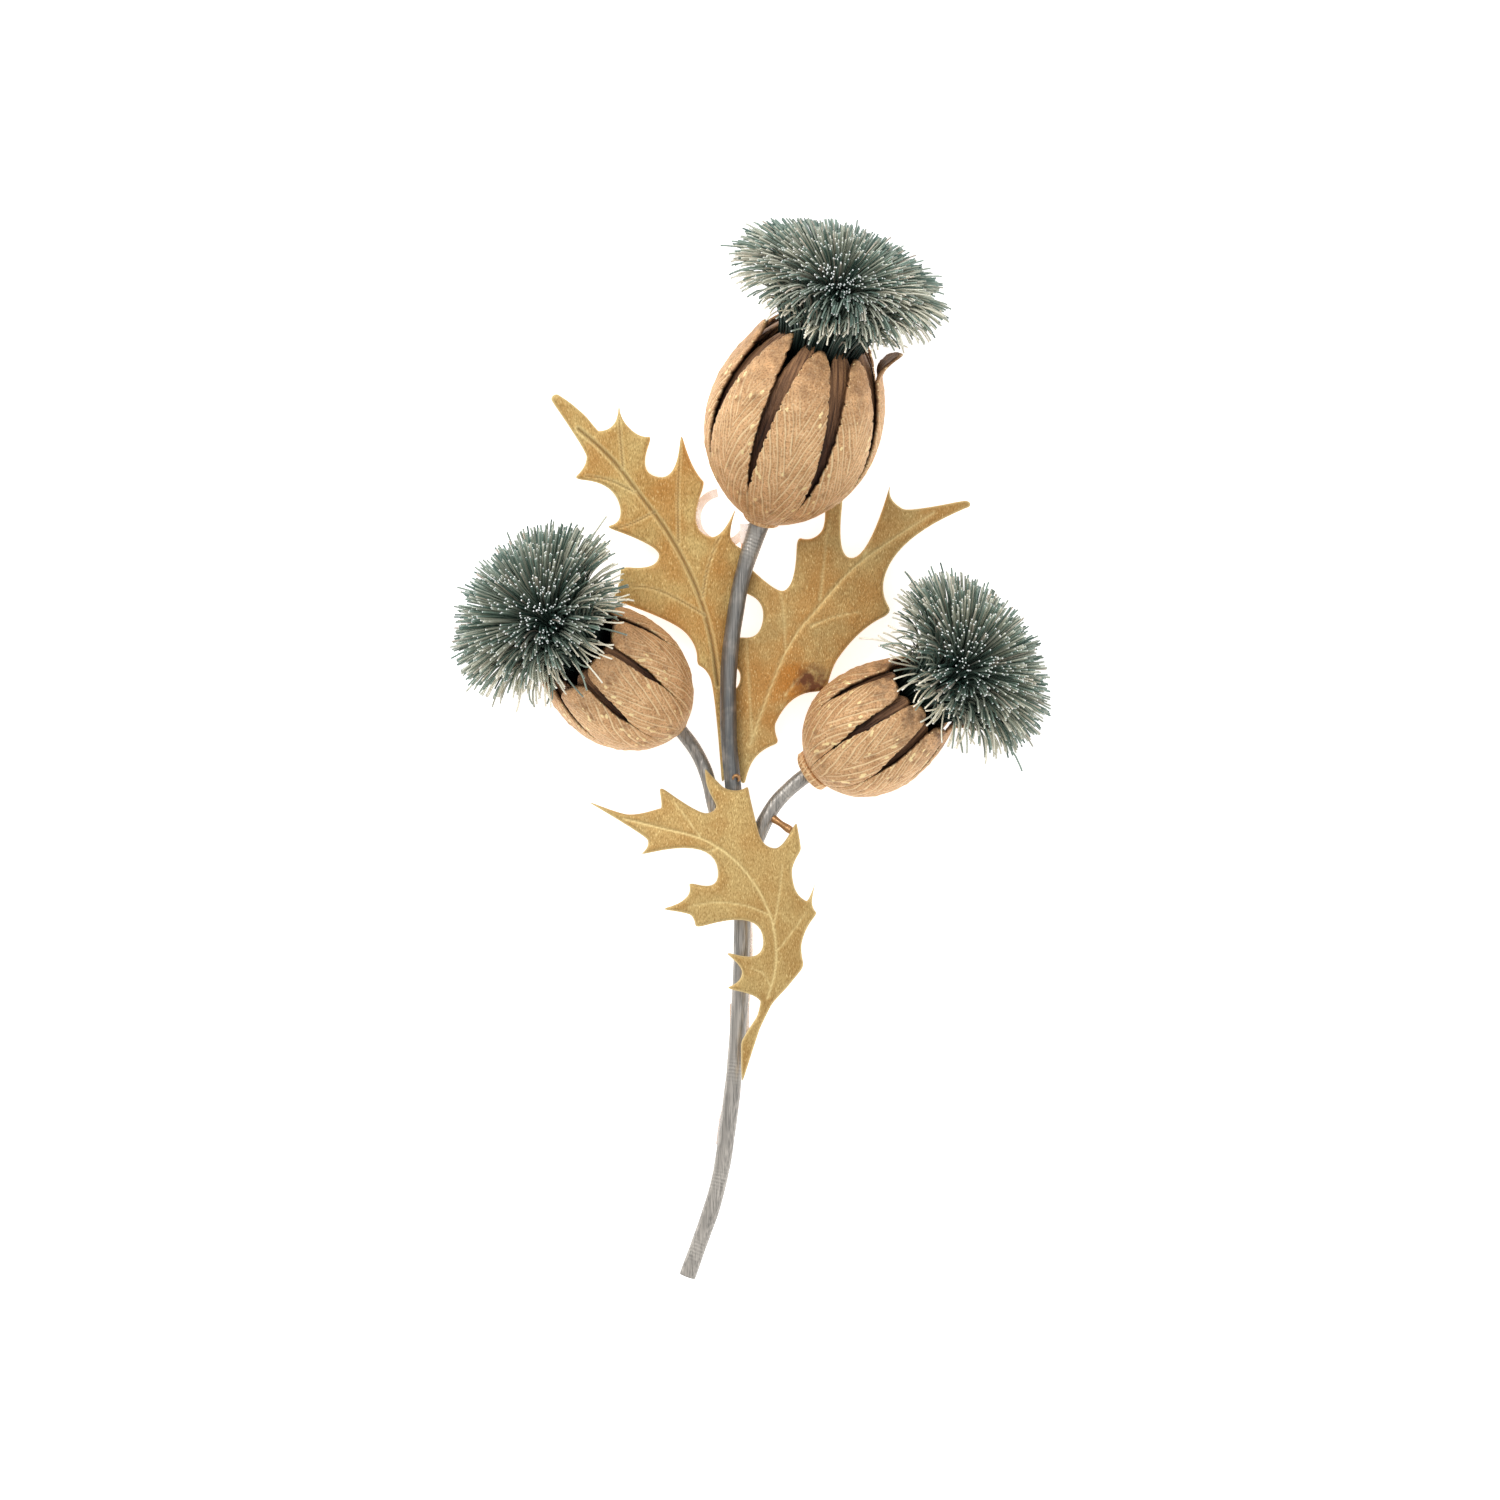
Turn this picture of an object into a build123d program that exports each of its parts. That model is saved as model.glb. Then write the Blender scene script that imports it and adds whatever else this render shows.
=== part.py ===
from build123d import *
import math
import os

# Thistle brooch: three thistle heads and three lobed leaves on a forked stem.
# It lies on its back with its front up. X runs across it, Y up the stem, Z out of its front.
# Lengths are millimetres and angles are degrees. Places are first taken from the joint, the
# spot on the main stem's line where the leaves and the side stems come together.

# Stems
stem_diameter = 1.6
stem_rise = 25.3
stem_lean = 2.65
tail_length = 46.95
tail_lean = -4.38
tail_end_height = 2.4
flare_diameter = 2.0
flare_length = 5.0
tail_recess_diameter = 1.0
tail_recess_depth = 0.6
left_stem_diameter = 1.35
left_foot_out = -5.33
left_foot_up = 5.62
left_fork_drop = 10.5
right_stem_diameter = 1.5
right_foot_out = 7.34
right_foot_up = 1.19
right_fork_drop = 10.0
foot_reach = 1.0

# Solder left on the stems: a drop on the front of the main one, a bar from the right one
bead_diameter = 0.95
bead_out = 0.3
bead_up = 0.6
bar_diameter = 0.7
bar_start = (3.4, -2.9)
bar_end = (5.6, -4.4)

# Walls and clearances
bract_wall = 0.45
inner_bract_wall = 0.35
whorl_gap = 0.2
foot_floor = 0.9
leaf_thickness = 0.6
solder_gap = 0.06
leaf_gap = 0.1
leaf_parting = 0.2
tip_rounding = 0.7
tuft_fit = 0.12

# Tufts: rings of lock tips from the neck over the rim to the crown. Radius is a share of the
# tuft's, height of the way from the neck to the crown, lock of how far each lock stands out.
lock_columns = 28
lock_length = 1.0
flat_rings = (
    dict(radius=0.54, height=0.06, lock=0.5),
    dict(radius=0.83, height=0.25, lock=0.9),
    dict(radius=1.00, height=0.47, lock=1.0),
    dict(radius=0.96, height=0.62, lock=1.0),
    dict(radius=0.76, height=0.75, lock=1.0),
    dict(radius=0.46, height=0.87, lock=0.8),
    dict(radius=0.17, height=0.96, lock=0.5),
)
round_rings = (
    dict(radius=0.47, height=0.04, lock=0.4),
    dict(radius=0.86, height=0.17, lock=0.9),
    dict(radius=1.00, height=0.35, lock=1.0),
    dict(radius=0.98, height=0.54, lock=1.0),
    dict(radius=0.84, height=0.74, lock=1.0),
    dict(radius=0.54, height=0.91, lock=0.8),
    dict(radius=0.20, height=0.98, lock=0.5),
)

# Thistle heads: heading is turned from X in the plane of the brooch, tilt leans the head out
# of its front, belly is the share of the bulb's length at which it is widest
main_head = dict(
    heading=71.3, tilt=25.0, collar_radius=1.8, neck_radius=2.0, foot_length=0.55,
    bulb_radius=8.4, bulb_length=18.9, belly=0.57, mouth_radius=5.9, bracts=8, slit_turn=-17.0,
    slit_start=0.32, slit_width=1.1, tip_length=2.6, tip_point=0.9, inner_rise=0.9,
    tuft_radius=11.2, tuft_height=31.3, rings=flat_rings)
left_head = dict(
    heading=141.0, tilt=32.0, collar_radius=1.45, neck_radius=1.6, foot_length=0.3,
    bulb_radius=6.35, bulb_length=14.9, belly=0.55, mouth_radius=4.6, bracts=8, slit_turn=20.0,
    slit_start=0.34, slit_width=0.8, tip_length=1.5, tip_point=0.7, inner_rise=0.5,
    tuft_radius=9.7, tuft_height=26.4, rings=round_rings)
right_head = dict(
    heading=34.3, tilt=20.0, collar_radius=2.05, neck_radius=1.75, foot_length=0.8,
    bulb_radius=6.1, bulb_length=14.1, belly=0.52, mouth_radius=4.3, bracts=8, slit_turn=-7.0,
    slit_start=0.3, slit_width=0.8, tip_length=1.8, tip_point=0.85, inner_rise=0.5,
    tuft_radius=9.9, tuft_height=26.0, rings=round_rings)

# Stem routes in shares: rise and lean of the stem, drop and lean of the tail, and for a side
# stem the way up and out from its fork to its foot. Sink is the share of the fall in height.
stem_rows = (
    dict(rise=0.171, lean=-0.16),
    dict(rise=0.456, lean=-0.19),
    dict(rise=0.78, lean=0.28),
)
tail_rows = (
    dict(drop=0.172, lean=-0.185, sink=0.03),
    dict(drop=0.33, lean=-0.205, sink=0.11),
    dict(drop=0.50, lean=-0.115, sink=0.25),
    dict(drop=0.66, lean=0.055, sink=0.43),
    dict(drop=0.82, lean=0.305, sink=0.66),
)
left_rows = (
    dict(up=0.266, out=0.24, sink=0.06),
    dict(up=0.50, out=0.42, sink=0.22),
    dict(up=0.71, out=0.53, sink=0.48),
    dict(up=0.86, out=0.71, sink=0.76),
)
right_rows = (
    dict(up=0.30, out=0.13, sink=0.05),
    dict(up=0.56, out=0.31, sink=0.20),
    dict(up=0.75, out=0.50, sink=0.45),
    dict(up=0.90, out=0.77, sink=0.75),
)

# Leaves: side is -1 for a leaf that spreads to the left. Bend is the radius it is bent to
# across, arch the radius along it, seat the share of the stem's lean where it touches the stem.
left_leaf = dict(
    side=-1, height=37.5, spread=16.9, base_out=0.48, base_up=-0.2, bend=58.0, crest=7.6, seat=-0.19)
right_leaf = dict(
    side=1, height=29.1, spread=22.2, base_out=0.48, base_up=-0.2, bend=64.0, crest=9.3, seat=0.6)
lower_leaf = dict(
    side=-1, height=30.1, spread=15.0, base_out=-0.86, base_up=-28.5, bend=45.0, crest=-0.5,
    arch=70.0, arch_up=0.545)

# Leaf outlines: each row is a lobe's tip and the hollow after it, then how round the hollow is
# toward that tip and toward the next. Up is a share of the leaf's height and out of its spread.
leaf_columns = ("tip_up", "tip_out", "hollow_up", "hollow_out", "round", "round_next")
left_leaf_rows = (
    (0.000, 0.034, 0.221, -0.113, 0.10, 0.10),
    (0.604, -0.085, 0.632, -0.017, 0.30, 0.20),
    (0.718, -0.051, 0.638, 0.113, 0.30, 0.40),
    (0.774, 0.130, 0.812, 0.192, 0.50, 0.30),
    (0.904, 0.266, 0.789, 0.390, 0.35, 0.50),
    (0.893, 0.429, 0.904, 0.531, 0.50, 0.50),
    (0.977, 0.616, 0.906, 0.729, 0.50, 0.05),
    (0.944, 0.802, 0.977, 0.887, 0.20, 0.20),
    (1.000, 0.960, 0.997, 0.989, 0.40, 0.40),
    (0.985, 1.000, 0.840, 0.799, 0.08, 0.35),
    (0.784, 0.876, 0.711, 0.610, 0.45, 0.60),
    (0.662, 0.695, 0.589, 0.390, 0.15, 0.35),
    (0.561, 0.605, 0.520, 0.616, 0.30, 0.30),
    (0.477, 0.655, 0.391, 0.237, 0.20, 0.50),
    (0.312, 0.175, 0.279, 0.102, 0.50, 0.10),
)
right_leaf_rows = (
    (0.000, 0.026, 0.095, 0.073, 0.30, 0.40),
    (0.144, 0.176, 0.212, 0.163, 0.30, 0.55),
    (0.314, 0.378, 0.425, 0.433, 0.30, 0.50),
    (0.572, 0.665, 0.709, 0.639, 0.50, 0.35),
    (0.915, 0.979, 0.928, 1.000, 0.40, 0.40),
    (0.941, 0.974, 0.913, 0.708, 0.10, 0.60),
    (1.000, 0.657, 0.752, 0.481, 0.20, 0.22),
    (0.948, 0.451, 0.961, 0.412, 0.40, 0.40),
    (0.931, 0.373, 0.833, 0.352, 0.25, 0.50),
    (0.820, 0.253, 0.644, 0.197, 0.22, 0.15),
    (0.745, 0.017, 0.690, 0.017, 0.30, 0.30),
    (0.644, 0.000, 0.552, 0.107, 0.50, 0.65),
    (0.493, -0.004, 0.441, -0.013, 0.30, 0.30),
    (0.392, -0.009, 0.356, 0.009, 0.50, 0.50),
    (0.317, -0.021, 0.154, -0.112, 0.10, 0.10),
)
lower_leaf_rows = (
    (0.000, 0.000, 0.177, -0.115, 0.10, 0.10),
    (0.256, -0.191, 0.307, -0.287, 0.10, 0.10),
    (0.373, -0.395, 0.446, -0.379, 0.30, 0.40),
    (0.541, -0.478, 0.570, -0.446, 0.50, 0.20),
    (0.642, -0.468, 0.585, -0.420, 0.20, 0.20),
    (0.579, -0.408, 0.671, -0.318, 0.60, 0.30),
    (0.741, -0.376, 0.785, -0.363, 0.30, 0.30),
    (0.832, -0.344, 0.747, -0.210, 0.20, 0.40),
    (0.829, -0.089, 0.902, -0.054, 0.20, 0.30),
    (0.943, -0.038, 0.930, 0.057, 0.45, 0.50),
    (0.953, 0.146, 0.972, 0.185, 0.30, 0.30),
    (1.000, 0.236, 0.946, 0.223, 0.30, 0.30),
    (0.880, 0.159, 0.858, 0.229, 0.50, 0.15),
    (0.946, 0.529, 0.873, 0.516, 0.10, 0.10),
    (0.873, 0.522, 0.854, 0.726, 0.30, 0.15),
    (0.899, 1.000, 0.772, 0.599, 0.05, 0.40),
    (0.725, 0.650, 0.674, 0.153, 0.42, 0.60),
    (0.639, 0.338, 0.598, 0.344, 0.40, 0.30),
    (0.554, 0.516, 0.535, 0.325, 0.10, 0.30),
    (0.494, 0.293, 0.456, -0.134, 0.45, 0.55),
    (0.421, 0.115, 0.354, 0.000, 0.20, 0.40),
    (0.304, 0.108, 0.263, -0.115, 0.20, 0.10),
    (0.215, -0.096, 0.171, -0.038, 0.20, 0.30),
    (0.133, 0.006, 0.070, 0.006, 0.30, 0.30),
)

# Pin on the back: an open hook at the top, a bowed wire behind the stem, a catch on the tail
pin_diameter = 0.88
pin_height = 1.3
pin_bend = (-0.1, 11.0)
pin_middle = (0.81, -6.2)
pin_end = (-1.0, -32.0)
pin_tip = (-1.57, -34.4)
hook_radius = 2.85
hook_hole_radius = 2.05
hook_thickness = 0.7
hook_out = -3.7
hook_up = 0.2
hook_open_from = -25.0
hook_open_to = 100.0
block_width = 1.5
block_length = 1.9
block_drop = 1.3
block_side = -0.8
catch_width = 1.9
catch_length = 5.2
catch_drop = 23.5
catch_out = 0.6


# Thistle heads

def head_plane(head, foot):
    # Z along the head, out of its foot, and X on the side that faces the front of the brooch
    heading = math.radians(head["heading"])
    tilt = math.radians(head["tilt"])
    flat = math.cos(tilt)
    axis = Vector(flat * math.cos(heading), flat * math.sin(heading), math.sin(tilt))
    front = (Vector(0, 0, 1) - axis * axis.Z).normalized()
    return Plane(origin=foot, x_dir=front, z_dir=axis)


def belly_height(head):
    return head["belly"] * head["bulb_length"]


def wall_radius(head, height, inset=0.0, upper=False):
    # The wall is a lower arc from the neck and an upper arc to the mouth, tangent at the belly
    end_radius = head["mouth_radius"] if upper else head["neck_radius"]
    end_height = head["bulb_length"] if upper else head["foot_length"]
    out = head["bulb_radius"] - end_radius
    along = belly_height(head) - end_height
    arc = (out ** 2 + along ** 2) / (2 * out)
    rise = height - belly_height(head)
    return head["bulb_radius"] - arc + math.sqrt((arc - inset) ** 2 - rise ** 2)


def foot_height(head):
    # Height of the foot's centre that lets the bulb rest on the surface
    tilt = math.radians(head["tilt"])
    reach = 0.0
    for step in range(1001):
        height = head["foot_length"] + (belly_height(head) - head["foot_length"]) * step / 1000
        reach = max(reach, wall_radius(head, height) * math.cos(tilt) - height * math.sin(tilt))
    return reach


def wall_arc(head, inset, low, high, upper=False):
    points = []
    for height in (low, (low + high) / 2, high):
        points.append((wall_radius(head, height, inset, upper), 0, height))
    return ThreePointArc(*points)


def whorl(head, inset, wall, tip, slit_turn):
    # One ring of bracts: a turned shell, slit from above and pointed between the slits
    start = head["slit_start"] * head["bulb_length"]
    belly = belly_height(head)
    outer = [wall_arc(head, inset, start, belly), wall_arc(head, inset, belly, tip, True)]
    back = inset + wall
    inner = [wall_arc(head, back, start, belly), wall_arc(head, back, belly, tip, True)]
    ends = [Line(outer[0] @ 0, inner[0] @ 0), Line(outer[1] @ 1, inner[1] @ 1)]
    shell = revolve(make_face(outer + inner + ends), Axis.Z)
    pitch = head["mouth_radius"] * math.tan(math.pi / head["bracts"]) * head["tip_point"]
    half = head["slit_width"] / 2
    shoulder = tip - head["tip_length"]
    root = start + bract_wall
    above = tip + head["bulb_radius"]
    corners = [(0, root), (half / 2, (root + shoulder) / 2), (half, shoulder), (pitch, tip)]
    mirrored = [(-across, height) for across, height in reversed(corners[1:])]
    outline = Polyline(corners + [(pitch, above), (-pitch, above)] + mirrored, close=True)
    wedge = extrude(Plane.YZ * make_face(outline), 1.5 * head["bulb_radius"])
    turns = [slit_turn + 360.0 * count / head["bracts"] for count in range(head["bracts"])]
    return shell - [Rot(Z=turn) * wedge for turn in turns]


def calyx(head):
    # Collar and closed bowl, as thick as both whorls together, then the two slit whorls on it
    collar = head["collar_radius"]
    low = head["foot_length"]
    top = head["slit_start"] * head["bulb_length"]
    floor = low + foot_floor
    inset = bract_wall + whorl_gap
    outer = wall_arc(head, 0, low, top)
    inner = wall_arc(head, inset + inner_bract_wall, floor, top)
    outline = Polyline((outer @ 0), (collar, 0, low), (collar, 0, 0), (0, 0, 0), (0, 0, floor), inner @ 0)
    bowl = revolve(make_face([outline, outer, inner, Line(outer @ 1, inner @ 1)]), Axis.Z)
    half_turn = 180.0 / head["bracts"]
    tip = head["bulb_length"]
    bracts = whorl(head, 0, bract_wall, tip, head["slit_turn"])
    inner_tip = tip + head["inner_rise"]
    inner_bracts = whorl(head, inset, inner_bract_wall, inner_tip, head["slit_turn"] + half_turn)
    return bowl + bracts + inner_bracts


def envelope(head, clearance):
    # The filled bulb with a clearance all round, for trimming what comes up to it
    low = head["foot_length"] + (clearance if head["collar_radius"] > head["neck_radius"] else 0)
    belly = belly_height(head)
    tip = head["bulb_length"]
    lower = wall_arc(head, -clearance, low, belly)
    upper = wall_arc(head, -clearance, belly, tip, True)
    collar = head["collar_radius"] + clearance
    outline = Polyline(
        lower @ 0, (collar, 0, low), (collar, 0, -clearance), (0, 0, -clearance), (0, 0, tip),
        upper @ 1)
    return revolve(make_face([outline, lower, upper]), Axis.Z)


def tuft(head):
    # A bundle seated in the bulb, fanning out above its mouth into rings of pointed locks
    inset = bract_wall + whorl_gap + inner_bract_wall
    neck = head["bulb_length"] + head["inner_rise"] + tuft_fit
    bundle = wall_radius(head, neck, inset, True) - tuft_fit
    seat = head["foot_length"] + foot_floor
    while wall_radius(head, seat, inset) < bundle + tuft_fit:
        seat += 0.01
    turns = [2 * math.pi * column / lock_columns for column in range(lock_columns)]
    rings = [[Vector(bundle * math.cos(turn), bundle * math.sin(turn), height) for turn in turns]
             for height in (seat + tuft_fit, neck)]
    for number, row in enumerate(head["rings"]):
        radius = head["tuft_radius"] * row["radius"]
        rise = (head["tuft_height"] - neck) * row["height"]
        reach = math.hypot(radius, rise)
        ring = []
        for column, turn in enumerate(turns):
            back = lock_length * row["lock"] * ((column + number) % 2)
            out = radius * (1 - back / reach)
            up = rise * (1 - back / reach)
            ring.append(Vector(out * math.cos(turn), out * math.sin(turn), neck + up))
        rings.append(ring)
    faces = fan(Vector(0, 0, rings[0][0].Z), rings[0][::-1])
    for number, (low, high) in enumerate(zip(rings, rings[1:])):
        for column in range(lock_columns):
            after = (column + 1) % lock_columns
            quad = [low[column], low[after], high[after], high[column]]
            if (column + number) % 2 == 0:
                quad = quad[1:] + quad[:1]
            faces.append(Face(Wire.make_polygon([quad[0], quad[1], quad[2]])))
            faces.append(Face(Wire.make_polygon([quad[0], quad[2], quad[3]])))
    faces += fan(Vector(0, 0, head["tuft_height"]), rings[-1])
    return Solid(Shell(faces))


def fan(centre, ring):
    return [Face(Wire.make_polygon([centre, start, end]))
            for start, end in zip(ring, ring[1:] + ring[:1])]


# Stems

def rounded_route(points):
    # Straight runs with each corner rounded as wide as its shorter run lets it be
    radii = []
    for before, corner, after in zip(points, points[1:], points[2:]):
        turn = math.radians((corner - before).get_angle(after - corner))
        run = min((corner - before).length, (after - corner).length)
        radii.append(0.45 * run / math.tan(turn / 2))
    return FilletPolyline(*points, radius=radii)


def tube(points, diameter):
    route = rounded_route(points)
    return sweep(Plane(origin=route @ 0, z_dir=route % 0) * Circle(diameter / 2), path=route)


def lengthened(points, reach):
    # The same route, run on past its last point
    return points[:-1] + [points[-1] + (points[-1] - points[-2]).normalized() * reach]


stem_height = foot_height(main_head)
main_foot = Vector(stem_lean, stem_rise, stem_height)
left_foot = Vector(left_foot_out, left_foot_up, foot_height(left_head))
right_foot = Vector(right_foot_out, right_foot_up, foot_height(right_head))
tail_end = Vector(tail_lean, -tail_length, tail_end_height)

stem_points = [Vector(0, 0, stem_height)]
stem_points += [Vector(stem_lean * row["lean"], stem_rise * row["rise"], stem_height) for row in stem_rows]
stem_points.append(main_foot)
tail_fall = stem_height - tail_end_height
tail_points = [
    Vector(tail_lean * row["lean"], -tail_length * row["drop"], stem_height - tail_fall * row["sink"])
    for row in tail_rows]
tail_points.append(tail_end)
main_points = tail_points[::-1] + stem_points


def main_stem_at(up):
    # Point on the main stem's line this far up from the joint
    for low, high in zip(main_points, main_points[1:]):
        if low.Y <= up <= high.Y:
            return low + (high - low) * ((up - low.Y) / (high.Y - low.Y))
    return main_points[0] if up < main_points[0].Y else main_points[-1]


def side_points(rows, fork_drop, foot):
    fork = main_stem_at(-fork_drop)
    points = [fork]
    for row in rows:
        points.append(Vector(
            fork.X + (foot.X - fork.X) * row["out"],
            fork.Y + (foot.Y - fork.Y) * row["up"],
            fork.Z + (foot.Z - fork.Z) * row["sink"]))
    return points + [foot]


left_points = side_points(left_rows, left_fork_drop, left_foot)
right_points = side_points(right_rows, right_fork_drop, right_foot)
heads = ((main_head, main_foot), (left_head, left_foot), (right_head, right_foot))


# Leaves

def leaf_place(leaf, up, out):
    across = leaf["side"] * (leaf["base_out"] + out * leaf["spread"])
    return Vector(across, leaf["base_up"] + up * leaf["height"])


def leaf_face(leaf, rows):
    # Every hollow is two curves that meet in its lowest point and run out to the tips beside it,
    # and every tip is rounded off over a short way along both of its sides
    lobes = [dict(zip(leaf_columns, row)) for row in rows]
    hollows = []
    for lobe, following in zip(lobes, lobes[1:] + lobes[:1]):
        tip = leaf_place(leaf, lobe["tip_up"], lobe["tip_out"])
        hollow = leaf_place(leaf, lobe["hollow_up"], lobe["hollow_out"])
        end = leaf_place(leaf, following["tip_up"], following["tip_out"])
        way = ((hollow - tip).normalized() + (end - hollow).normalized()).normalized()
        near = hollow - way * (lobe["round"] * (hollow - tip).length)
        far = hollow + way * (lobe["round_next"] * (end - hollow).length)
        hollows.append((past_tip(tip, near), near, hollow, far, past_tip(end, far), end))
    edges = []
    for (start, near, hollow, far, stop, end), following in zip(hollows, hollows[1:] + hollows[:1]):
        edges += [Bezier(start, near, hollow), Bezier(hollow, far, stop)]
        edges.append(ThreePointArc(stop, (stop + following[0]) / 4 + end / 2, following[0]))
    return make_face(edges)


def past_tip(tip, aim):
    # Where a side that leaves the tip toward aim is clear of the rounding
    return tip + (aim - tip).normalized() * min(tip_rounding, 0.3 * (aim - tip).length)


def beside_stem(leaf):
    # The side of the main stem's middle line that an upper leaf keeps to
    side = leaf["side"]
    points = [(point.X + side * leaf_parting / 2, point.Y) for point in main_points]
    points.append((points[-1][0], points[-1][1] + leaf["height"]))
    points.append((side * 3 * leaf["spread"], points[-1][1]))
    points.append((side * 3 * leaf["spread"], points[0][1]))
    return make_face(Polyline(points, close=True))


def upper_leaf(leaf, rows):
    # Bent across about an axis along the stem, its face against the stem's back
    side = leaf["side"]
    seat = side * stem_lean * leaf["seat"]
    bend = leaf["bend"]
    drop = bend - math.sqrt(bend ** 2 - (leaf["crest"] - seat) ** 2)
    top = stem_height - stem_diameter / 2 - solder_gap + drop
    centre = (side * leaf["crest"], top - bend)
    band = Pos(*centre) * (Circle(bend) - Circle(bend - leaf_thickness))
    length = 2 * leaf["height"]
    shell = Pos(0, leaf["base_up"], 0) * extrude(Plane.XZ * band, length / 2, both=True)
    kept = shell & extrude(beside_stem(leaf), 2 * stem_height)
    blank = extrude(leaf_face(leaf, rows), 2 * stem_height) & kept
    for head, foot in heads:
        blank = blank - head_plane(head, foot) * envelope(head, leaf_gap)
    return blank


def lower_leaf_centre():
    # Crest of the lower leaf's underside, as high as the stem below it needs
    across = lower_leaf["side"] * lower_leaf["crest"]
    up = lower_leaf["base_up"] + lower_leaf["arch_up"] * lower_leaf["height"]
    crest = Vector(across, up, 0)
    for step in range(201):
        spot = main_stem_at(lower_leaf["base_up"] + lower_leaf["height"] * step / 200)
        need = spot.Z + stem_diameter / 2 + solder_gap
        crest.Z = max(crest.Z, need - underside_drop(crest, spot.X, spot.Y))
    return crest


def underside_drop(crest, across, up):
    # How far the lower leaf's underside lies above its crest at a place, always below zero
    bend = lower_leaf["bend"] - leaf_thickness
    arch = lower_leaf["arch"] - leaf_thickness
    section = math.sqrt(bend ** 2 - (across - crest.X) ** 2) - bend
    return math.sqrt((arch + section) ** 2 - (up - crest.Y) ** 2) - arch


def domed_leaf():
    # Bent across and arched along over the front of the stem
    bend = lower_leaf["bend"]
    crest = lower_leaf_centre()
    top = crest.Z + leaf_thickness
    ring = Pos(0, 0) * (Circle(bend) - Circle(bend - leaf_thickness))
    reach = 1.2 * lower_leaf["spread"]
    half = ring & (Pos(0, bend / 2 + bend / 4) * Rectangle(2 * reach, bend / 2))
    section = Pos(crest.X, crest.Y, top - bend) * (Plane.XZ * half)
    pivot = Axis((0, crest.Y, top - lower_leaf["arch"]), (1, 0, 0))
    turn = 2 * math.degrees(math.asin(0.7 * lower_leaf["height"] / lower_leaf["arch"]))
    shell = revolve(section.rotate(pivot, -turn / 2), pivot, turn)
    return extrude(leaf_face(lower_leaf, lower_leaf_rows), 2 * top) & shell


# Building

stems = tube(lengthened(main_points, foot_reach), stem_diameter)
flare_run = (main_foot - stem_points[-2]).normalized()
flare = Solid.make_cone(
    stem_diameter / 2, flare_diameter / 2, flare_length + foot_reach,
    Plane(origin=main_foot - flare_run * flare_length, z_dir=flare_run))
stems = stems + flare
stems = stems + tube(lengthened(left_points, foot_reach), left_stem_diameter)
stems = stems + tube(lengthened(right_points, foot_reach), right_stem_diameter)
bead = Pos(bead_out, bead_up, stem_height + stem_diameter / 2) * Sphere(bead_diameter / 2)
bar_top = lower_leaf_centre()
bar_top_height = bar_top.Z + underside_drop(bar_top, *bar_end) - leaf_gap - bar_diameter / 2
bar_root = Vector(*bar_start, right_points[-3].Z)
bar_tip = Vector(*bar_end, bar_top_height)
bar = Solid.make_cylinder(
    bar_diameter / 2, (bar_tip - bar_root).length, Plane(origin=bar_root, z_dir=bar_tip - bar_root))
stems = stems + bead + bar
tail_run = (main_points[1] - main_points[0]).normalized()
recess = Solid.make_cylinder(
    tail_recess_diameter / 2, 2 * tail_recess_depth,
    Plane(origin=tail_end - tail_run * tail_recess_depth, z_dir=tail_run))
stems = stems - recess
for head, foot in heads:
    stems = stems - head_plane(head, foot) * envelope(head, solder_gap)

under = pin_height - pin_diameter / 2
block_spot = main_stem_at(stem_rise - block_drop) + Vector(block_side, 0)
block_top = stem_height - flare_diameter / 2 - solder_gap
block = Box(block_width, block_length, block_top - under, align=(Align.CENTER, Align.CENTER, Align.MIN))
block = Pos(block_spot.X, block_spot.Y, under) * block
catch_low = main_stem_at(-catch_drop - catch_length / 2)
catch_top = catch_low.Z - stem_diameter / 2 - solder_gap
catch = Box(catch_width, catch_length, catch_top - under, align=(Align.CENTER, Align.CENTER, Align.MIN))
catch = Pos(catch_out, -catch_drop, under) * catch
wire_start = Vector(block_spot.X, block_spot.Y, pin_height)
wire_end = Vector(*pin_end, pin_height)
upper_wire = ThreePointArc(wire_start, (*pin_bend, pin_height), (*pin_middle, pin_height))
wire = upper_wire + TangentArc(upper_wire @ 1, wire_end, tangent=upper_wire % 1)
pin = sweep(Plane(origin=wire @ 0, z_dir=wire % 0) * Circle(pin_diameter / 2), path=wire)
point_run = Vector(*pin_tip, pin_height) - wire_end
point = Solid.make_cone(
    pin_diameter / 2, pin_diameter / 10, point_run.length, Plane(origin=wire_end, z_dir=point_run))
elbow = Pos(*wire_end) * Sphere(pin_diameter / 2)
hook_arc = CenterArc((0, 0), 2 * hook_radius, hook_open_to, hook_open_from + 360.0 - hook_open_to)
wedge = make_face([hook_arc, Line((0, 0), hook_arc @ 0), Line((0, 0), hook_arc @ 1)])
hook = extrude((Circle(hook_radius) - Circle(hook_hole_radius)) & wedge, hook_thickness)
hook = Pos(main_foot.X + hook_out, main_foot.Y + hook_up, pin_height - hook_thickness / 2) * hook
pin = pin + elbow + point + hook + block + catch

pieces = dict(
    stems=stems,
    main_calyx=head_plane(main_head, main_foot) * calyx(main_head),
    left_calyx=head_plane(left_head, left_foot) * calyx(left_head),
    right_calyx=head_plane(right_head, right_foot) * calyx(right_head),
    main_tuft=head_plane(main_head, main_foot) * tuft(main_head),
    left_tuft=head_plane(left_head, left_foot) * tuft(left_head),
    right_tuft=head_plane(right_head, right_foot) * tuft(right_head),
    upper_left_leaf=upper_leaf(left_leaf, left_leaf_rows),
    upper_right_leaf=upper_leaf(right_leaf, right_leaf_rows),
    lower_leaf=domed_leaf(),
    pin=pin,
)

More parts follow.
